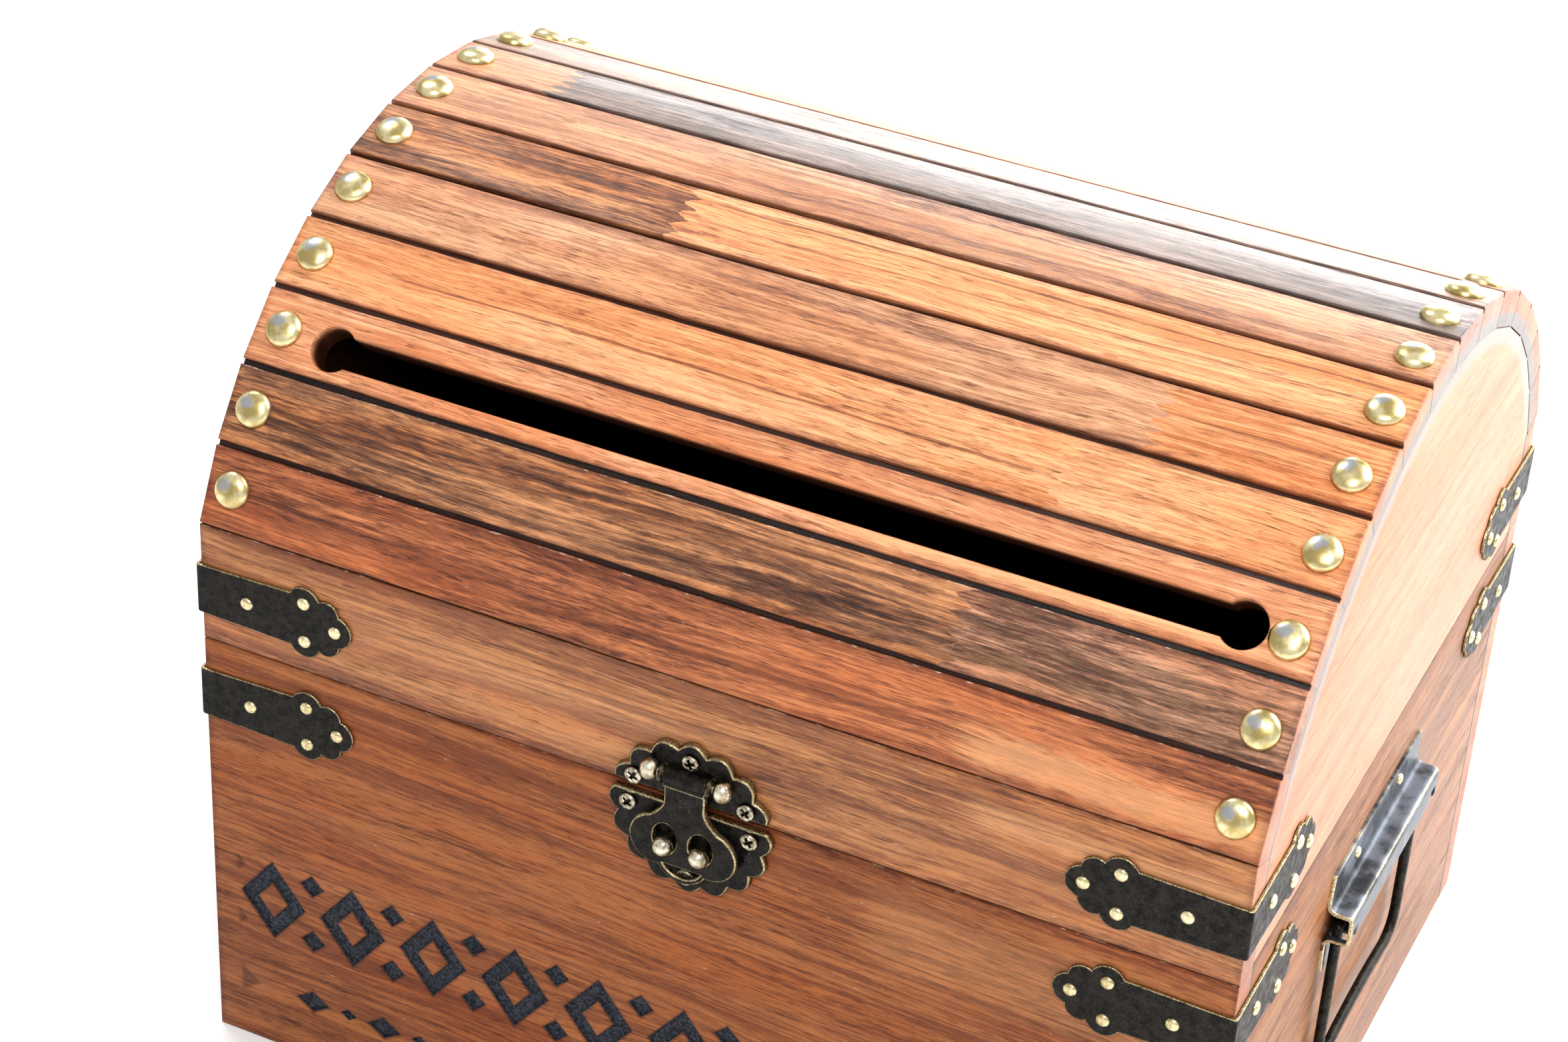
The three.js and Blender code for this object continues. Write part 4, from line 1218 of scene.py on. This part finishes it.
def clipped(loop, z, keep_above):
    """The part of the loop above or below a level line."""
    made = []
    for a, b in zip(loop, loop[1:] + loop[:1]):
        kept_a, kept_b = (a[1] > z) == keep_above, (b[1] > z) == keep_above
        if kept_a:
            made.append(a)
        if kept_a != kept_b:
            t = (z - a[1]) / (b[1] - a[1])
            made.append((a[0] + (b[0] - a[0]) * t, z))
    return divided(made, 1.2)


def embossed(p):
    """Raises a round ridge on the face of a latch plate."""
    off = np.abs(np.hypot(p[:, 0], p[:, 1] - LATCH_Z) - LATCH_RIDGE)
    return moved(p, 2, RIDGE_HEIGHT * bump(off, RIDGE_HALF) * (p[:, 2] > -0.2))


def hasp_neck():
    """The hasp's neck, with flanks that curve out to its side lobes."""
    flank = []
    for k in range(NECK_STEPS + 1):
        turn = math.pi / 2 * k / NECK_STEPS
        flank.append((HASP_BARREL + NECK_FLARE * (1 - math.cos(turn)), NECK_TOP - NECK_DROP * k / NECK_STEPS))
    right = [(HASP_BARREL, LATCH_AXIS_Z)] + flank
    return [(-x, z) for x, z in right] + right[::-1]


def hasp_moon():
    """The half-moon opening in the hasp's tip."""
    z = HASP_LOBES[-1][1]
    turns = [math.radians(60) * (k / 8 - 1) for k in range(17)]
    return divided([(MOON_RADIUS * math.sin(a), z - MOON_RADIUS * math.cos(a)) for a in turns], 0.6)


def engraved(p, loop):
    """Cuts fine lines into the hasp's face: one inside its outline and an arc across its neck."""
    middle, radius, end = ENGRAVED_ARC
    off = np.abs(distance_to(p[:, :2], [loop]) - ENGRAVED_INSET)
    arc = np.abs(np.hypot(p[:, 0], p[:, 1] - middle) - radius)
    cut = np.maximum(bump(off, ENGRAVED_HALF), bump(arc, ENGRAVED_HALF) * (p[:, 1] > end))
    return moved(p, 2, -ENGRAVED_DEPTH * cut * (p[:, 2] > -0.1))


def knuckle(half, shoulder, lip, sides):
    """A bored ring, with its outer corners taken off."""
    ring = [(KNUCKLE_BORE, -half), (lip, -half), (KNUCKLE, shoulder - half)]
    return turned(ring + [(r, -w) for r, w in reversed(ring)], sides, True)


def build_plates(dark):
    """The two halves of the round plate, with ears on the upper one that hold the pin."""
    rim = dict(rim=0.7, spacing=0.8, reach=1.3, steps=4)
    upper, lower = [
        carve(clipped(scalloped(), z, above), LATCH_SHEET, **rim).bend(embossed).to(at(0, 0, LATCH_OUT))
        for z, above in ((LATCH_UPPER_EDGE, True), (LATCH_LOWER_EDGE, False))
    ]
    for side in (-1, 1):
        ear = knuckle(EAR_HALF, 0.2, 2.2, 24)
        ear.edge[:] = 0.8
        upper.join(ear.to(at(side * EAR_X, LATCH_AXIS_Z, LATCH_AXIS_OUT) @ LYING))
        foot = carve(rectangle(-EAR_HALF, EAR_HALF, -1.6, 1.6), LATCH_AXIS_OUT - 2.0, rim=0.1)
        upper.join(foot.to(at(side * EAR_X, LATCH_AXIS_Z, LATCH_AXIS_OUT - 1.5)))
    fitting("latch_upper_plate", upper.to(FRONT), "lid", "dark_bronze", dark)
    fitting("latch_lower_plate", lower.to(FRONT), "box", "dark_bronze", dark)


def build_pin(silver):
    """The hasp's pin, with a rounded end on each side."""
    half = [(LATCH_PIN_RADIUS, 0.0), (LATCH_PIN_RADIUS, LATCH_BALL_X - 2.4)]
    for k in range(1, 9):
        turn = -math.pi / 2 + math.pi * (k + 1) / 10
        half.append((LATCH_BALL * math.cos(turn), LATCH_BALL_X + LATCH_BALL * math.sin(turn)))
    half.append((0.0, LATCH_BALL_X + LATCH_BALL))
    pin = turned([(r, -w) for r, w in half[:0:-1]] + half, 24)
    on_ball = np.abs(pin.local[:, 2]) > LATCH_BALL_X - 2.5
    pin.bend(lambda p: p * np.where(on_ball[:, None], (1.0, LATCH_BALL_STRETCH, 1.0), 1.0))
    pin.to(at(0, LATCH_AXIS_Z, LATCH_AXIS_OUT) @ LYING)
    fitting("latch_pin", pin.to(FRONT), "lid", "worn_brass", silver)


def build_hasp(dark):
    lobes = [circle(x, z, HASP_LOBE_RADIUS, 48) for x, z in HASP_LOBES]
    outline = divided(union([hasp_neck(), *lobes]), 0.8)
    wide, high, z = HASP_HOLE
    holes = [circle(side * STUD[0], z, wide, 40, high / wide) for side in (-1, 1)] + [hasp_moon()]
    hasp = carve(outline, HASP_SHEET, holes=holes, rim=0.6, spacing=0.5, reach=1.9, steps=4)
    hasp.bend(lambda p: engraved(p, outline)).to(at(0, 0, HASP_FACE))
    # the end of the sheet, rolled back on to the face under the barrel
    roll = rectangle(-HASP_BARREL, HASP_BARREL, ROLL_BOTTOM, ROLL_TOP)
    lip = carve(divided(roll, 0.6), ROLL_SHEET, rim=0.35)
    lip.edge[:] = np.where(lip.local[:, 1] < ROLL_BOTTOM + 0.5, 1.0, lip.edge)
    hasp.join(lip.to(at(0, 0, HASP_FACE + 0.5)))
    barrel = knuckle(HASP_BARREL, 0.3, 2.1, 32)
    barrel.edge[:] = np.where(np.abs(barrel.local[:, 2]) > HASP_BARREL - 0.2, 1.0, 0.0)
    hasp.join(barrel.to(at(0, LATCH_AXIS_Z, LATCH_AXIS_OUT) @ LYING))
    fitting("latch_hasp", hasp.to(FRONT), "hasp", "dark_bronze", dark)


def build_studs(silver):
    profile = [(STUD_NECK, 0.0), (STUD_NECK, STUD_NECK_OUT), STUD_COLLAR]
    for k in range(9):
        turn = -0.7 + (math.pi / 2 + 0.7) * k / 8
        profile.append((STUD_HEAD * math.cos(turn), STUD_HEAD_OUT + STUD_HEAD_RISE * math.sin(turn)))
    for name, side in (("left", -1), ("right", 1)):
        stud = turned(profile, 28).to(at(side * STUD[0] + 0.3, STUD[1] + 0.5, 0)).shift_grain(side * 9.0)
        fitting(f"latch_stud_{name}", stud.to(FRONT), "box", "steel", silver)


def build_screws(bright):
    level_bar = rectangle(-CROSS_REACH, CROSS_REACH, -CROSS_HALF, CROSS_HALF)
    cross = union([level_bar, rectangle(-CROSS_HALF, CROSS_HALF, -CROSS_REACH, CROSS_REACH)])

    def crown(p):
        return moved(p, 2, 0.3 * bump(np.hypot(p[:, 0], p[:, 1]), SCREW_RADIUS) * (p[:, 2] > -0.7))

    for body, word in (("lid", "upper"), ("box", "lower")):
        for k, (x, z) in enumerate(LATCH_SCREWS[body]):
            head = circle(0, 0, SCREW_RADIUS, 32)
            screw = carve(head, SCREW_HEAD, pockets=[cross], depth=0.9, rim=0.55, steps=4)
            spin = Matrix.Rotation(0.7 + 1.3 * k + 0.4 * z, 4, "Z")
            screw.bend(crown).to(at(x, z, LATCH_OUT + SCREW_HEAD) @ spin).shift_grain(11.0 * k, z)
            fitting(f"latch_{word}_screw_{k + 1}", screw.to(FRONT), body, "steel", bright)


def build_latch():
    dark = bronze("dark_bronze_latch", 13.0)
    silver = brass("latch_pin_brass", 21.0, ("7d6f50", "e4dcc4"), 0.17, 0.5)
    bright = steel("screw_steel", 3.0)
    build_plates(dark)
    build_pin(silver)
    build_hasp(dark)
    build_studs(silver)
    build_screws(bright)


# ---------------------------------------------------------------- side handles
def handle_plate():
    """The pressed plate of one side, folded into a channel across its middle, with its nails."""
    flange = CHANNEL_BOTTOM - HANDLE_BOTTOM
    wall = CHANNEL_OUT - GAP - HANDLE_SHEET
    out = GAP + HANDLE_SHEET
    line = [
        (HANDLE_BOTTOM, out),
        (CHANNEL_BOTTOM, out),
        (CHANNEL_BOTTOM, CHANNEL_OUT),
        (CHANNEL_TOP, CHANNEL_OUT),
        (CHANNEL_TOP, out),
        (HANDLE_TOP, out),
    ]
    path = Path(line, HANDLE_FOLD_RADIUS)
    total = path.run[-1]
    folds = np.cumsum([flange, wall, CHANNEL_TOP - CHANNEL_BOTTOM, wall])
    folds = folds * total / (folds[-1] + flange)
    half, cut = HANDLE_HALF, HANDLE_HALF - HANDLE_CORNER
    right = [(cut, 0.0), (half, folds[0]), (half, folds[3]), (cut, total)]
    outline = divided([(-cut, 0.0)] + right + [(-u, t) for u, t in right[:0:-1]], 0.7)
    slots = []
    for u in (-BAIL_HALF, BAIL_HALF):
        slot = rectangle(u - BAIL_SLOT_HALF, u + BAIL_SLOT_HALF, folds[0] + 0.3, folds[1] + 4.6)
        slots.append(divided(slot, 0.6))
    coarse = [t for t in np.arange(0.8, total, FLAT_STEP) if np.abs(folds - t).min() > 1.9]
    lines = (np.arange(-half + 0.8, half, 1.3), np.concatenate([*map(fold_lines, folds), coarse]))
    plate = carve(outline, HANDLE_SHOWN, holes=slots, rim=0.28, spacing=FLAT_STEP, lines=lines, reach=1.4)
    plate.bend(lambda p: np.column_stack([p[:, 0], *path.at(p[:, 1], p[:, 2])]))
    # the outer folds are rubbed bright
    u, t = plate.local[:, 0], plate.local[:, 1]
    on_fold = np.minimum(np.abs(t - folds[1]), np.abs(t - folds[2]))
    rims = plate.edge * np.where(np.abs(u) > half - 1.5, 1.0, 0.8)
    plate.edge = np.maximum(rims, np.clip(0.93 - on_fold / 3.0, 0, 1))
    for x in (-HANDLE_PIN_X, HANDLE_PIN_X):
        for z in HANDLE_PIN_Z:
            plate.join(turned(dome(HANDLE_PIN_RADIUS, PIN_HEIGHT, 0.2, 5), 20).to(at(x, z, out)), look=1)
    return plate


def build_handles():
    # the handles' patina is partly a painted sheen
    dark = bronze("dark_bronze_handles", 17.0, 1.0, PATINA_AND_PAINTED_SHEEN, BRIGHT_RIM, 0.8, 0.06, 0.08)
    cream = brass("handle_nail_brass", 29.0, CREAM)
    bail_look = bronze("dark_bronze_bails", 23.0, 0.6, BAIL_PATINA)
    for name, face, y in (("right", RIGHT, HANDLE_Y), ("left", LEFT, -HANDLE_Y)):
        place = face @ at(y, 0, 0)
        fitting(f"handle_plate_{name}", handle_plate().to(place), "box", "dark_bronze", dark, cream)
        fitting(f"handle_bail_{name}", bail().to(place), f"{name}_bail", "dark_bronze", bail_look)


def bail():
    """The closed loop of bar: straight in the channel, with a bowed grip."""

    def curve(a, b, c, steps=10):
        made = []
        for k in range(steps):
            t = k / steps
            made.append(tuple(a[i] * (1 - t) ** 2 + 2 * b[i] * t * (1 - t) + c[i] * t**2 for i in (0, 1)))
        return made

    top, corner = BAIL_TOP_CORNER, BAIL_CORNER
    h, z0, z1 = BAIL_HALF, BAIL_AXIS_Z, BAIL_BOTTOM
    straight = z0 - top - z1 - corner
    line = [(-h + top + (2 * h - 2 * top) * k / 24, z0) for k in range(24)]
    line += curve((h - top, z0), (h, z0), (h, z0 - top), 6)
    line += [(h, z0 - top - straight * k / 16) for k in range(16)]
    line += curve((h, z1 + corner), (h, z1), (h - corner, z1))
    line += curve((h - corner, z1), (0, z1 + BAIL_BOW), (-h + corner, z1), 28)
    line += curve((-h + corner, z1), (-h, z1), (-h, z1 + corner))
    line += [(-h, z1 + corner + straight * k / 16) for k in range(16)]
    line += curve((-h, z0 - top), (-h, z0), (-h + top, z0), 6)
    radii = []
    for x, z in line:
        grip = max(0.0, 1 - abs(x) / 24) if z < z1 + 8 else 0.0
        radii.append((BAIL_RADIUS + 0.3 + 0.25 * min(1.0, grip * 3), BAIL_RADIUS))
    shape = swept([(x, z, BAIL_AXIS_OUT) for x, z in line], radii, 14)
    shape.edge[:] = np.where(shape.local[:, 2] > BAIL_AXIS_OUT + BAIL_RADIUS * 0.7, 0.75, 0.2)
    return shape


# ---------------------------------------------------------------- back hinges
def refined(node):
    """A copy of a CAD node's mesh with its sharp edges rounded. Grain is the place in the row frame."""
    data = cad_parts[node].data.copy()
    data.name = f"refined_{node}"
    data.materials.clear()
    work = bmesh.new()
    work.from_mesh(data)
    bmesh.ops.remove_doubles(work, verts=work.verts, dist=2e-6)
    flat = math.radians(1.0)
    bmesh.ops.dissolve_limit(work, angle_limit=flat, verts=work.verts, edges=work.edges)
    sharp = [e for e in work.edges if e.is_manifold and e.calc_face_angle(0) > math.radians(40)]
    rounded = dict(offset=0.22 * MM, offset_type="OFFSET", segments=2, profile=0.6, affect="EDGES")
    made = bmesh.ops.bevel(work, geom=sharp, clamp_overlap=True, **rounded)
    work.faces.index_update()
    rims = {f.index for f in made["faces"] if f.is_valid}
    for face in work.faces:
        face.smooth = True
    work.to_mesh(data)
    work.free()
    on_rim = [1.0 if k in rims else 0.0 for k in range(len(data.polygons))]
    store(data, "edge", "FLOAT", "FACE", "value", on_rim)
    store(data, "grain", "FLOAT_VECTOR", "POINT", "vector", np.array([v.co for v in data.vertices]) / MM)
    data.set_sharp_from_angle(angle=math.radians(35))
    return data


def build_hinges():
    dark = bronze("dark_bronze_hinges", 37.0)
    gold = brass("hinge_pin_brass", 41.0, ("7d6b3c", "cbbd86"), 0.3)
    for side in ("left", "right"):
        for body in ("lid", "box"):
            node = f"hinge_{body}_leaf_{side}"
            fitting(node, refined(node), body, "dark_bronze", dark)
        node = f"hinge_pin_{side}"
        fitting(node, refined(node), "box", "worn_brass", gold)


# ---------------------------------------------------------------- stage, light, camera
def build_floor():
    size, count = 9.0, 24
    work = bmesh.new()
    bmesh.ops.create_grid(work, x_segments=count, y_segments=count, size=size)
    data = bpy.data.meshes.new("floor")
    work.to_mesh(data)
    work.free()
    g = Graph("floor")
    cloud = g.noise(g.value("NewGeometry", None, "Position"), 3.0, 1.0, 3.0)
    colour = g.blend(cloud.step(0.35, 0.65), (0.80, 0.80, 0.79, 1), (0.86, 0.86, 0.86, 1))
    data.materials.append(g.finish(colour, 0.6))
    floor = bpy.data.objects.new("floor", data)
    bpy.context.scene.collection.objects.link(floor)


def area_light(name, place, target, size, power, colour=(1, 1, 1)):
    data = bpy.data.lights.new(name, "AREA")
    data.shape = "RECTANGLE"
    data.size, data.size_y = size
    data.energy = power
    data.color = colour
    lamp = bpy.data.objects.new(name, data)
    lamp.location = place
    lamp.rotation_mode = "QUATERNION"
    lamp.rotation_quaternion = (Vector(target) - Vector(place)).to_track_quat("-Z", "Y")
    bpy.context.scene.collection.objects.link(lamp)


def build_light():
    world = bpy.data.worlds.new("studio")
    world.use_nodes = True
    background = world.node_tree.nodes["Background"]
    background.inputs["Color"].default_value = (1.0, 1.0, 1.0, 1.0)
    background.inputs["Strength"].default_value = 0.8
    bpy.context.scene.world = world
    middle = (0.0, 0.0, 0.13)
    area_light("window", (1.4, 0.9, 1.7), middle, (1.6, 1.4), 75)
    area_light("back_window", (0.3, 3.2, 0.9), middle, (4.0, 1.8), 150)
    area_light("front_lamp", (0.55, -1.25, 1.6), middle, (0.8, 0.8), 23)
    area_light("near_window", (0.75, 0.42, 0.42), (0.15, 0.04, 0.2), (0.4, 0.4), 2.6)
    area_light("sky", (-1.1, 0.6, 1.7), middle, (0.7, 0.7), 12, (0.85, 0.92, 1.0))
    bpy.context.scene.view_settings.view_transform = "Standard"


CAMERA_TARGET = Vector((20.76, -122.29, 231.94)) * MM
CAMERA_DISTANCE = 0.87667
CAMERA_AZIMUTH = 23.9
CAMERA_ELEVATION = 33.0
CAMERA_ROLL = 3.44
CAMERA_LENS = 82.916


def build_camera():
    azimuth, elevation = math.radians(CAMERA_AZIMUTH), math.radians(CAMERA_ELEVATION)
    flat = math.cos(elevation)
    back = Vector((math.sin(azimuth) * flat, -math.cos(azimuth) * flat, math.sin(elevation)))
    data = bpy.data.cameras.new("camera")
    data.lens = CAMERA_LENS
    data.sensor_width = 36
    camera = bpy.data.objects.new("camera", data)
    camera.location = CAMERA_TARGET + back * CAMERA_DISTANCE
    camera.rotation_mode = "QUATERNION"
    roll = Quaternion((0, 0, 1), math.radians(CAMERA_ROLL))
    camera.rotation_quaternion = (-back).to_track_quat("-Z", "Y") @ roll
    bpy.context.scene.collection.objects.link(camera)
    bpy.context.scene.camera = camera


build_camera()
build_floor()
build_light()
build_box()
build_slats()
build_rails()
build_ends()
build_nails()
build_straps()
build_latch()
build_handles()
build_hinges()

bpy.context.view_layer.update()
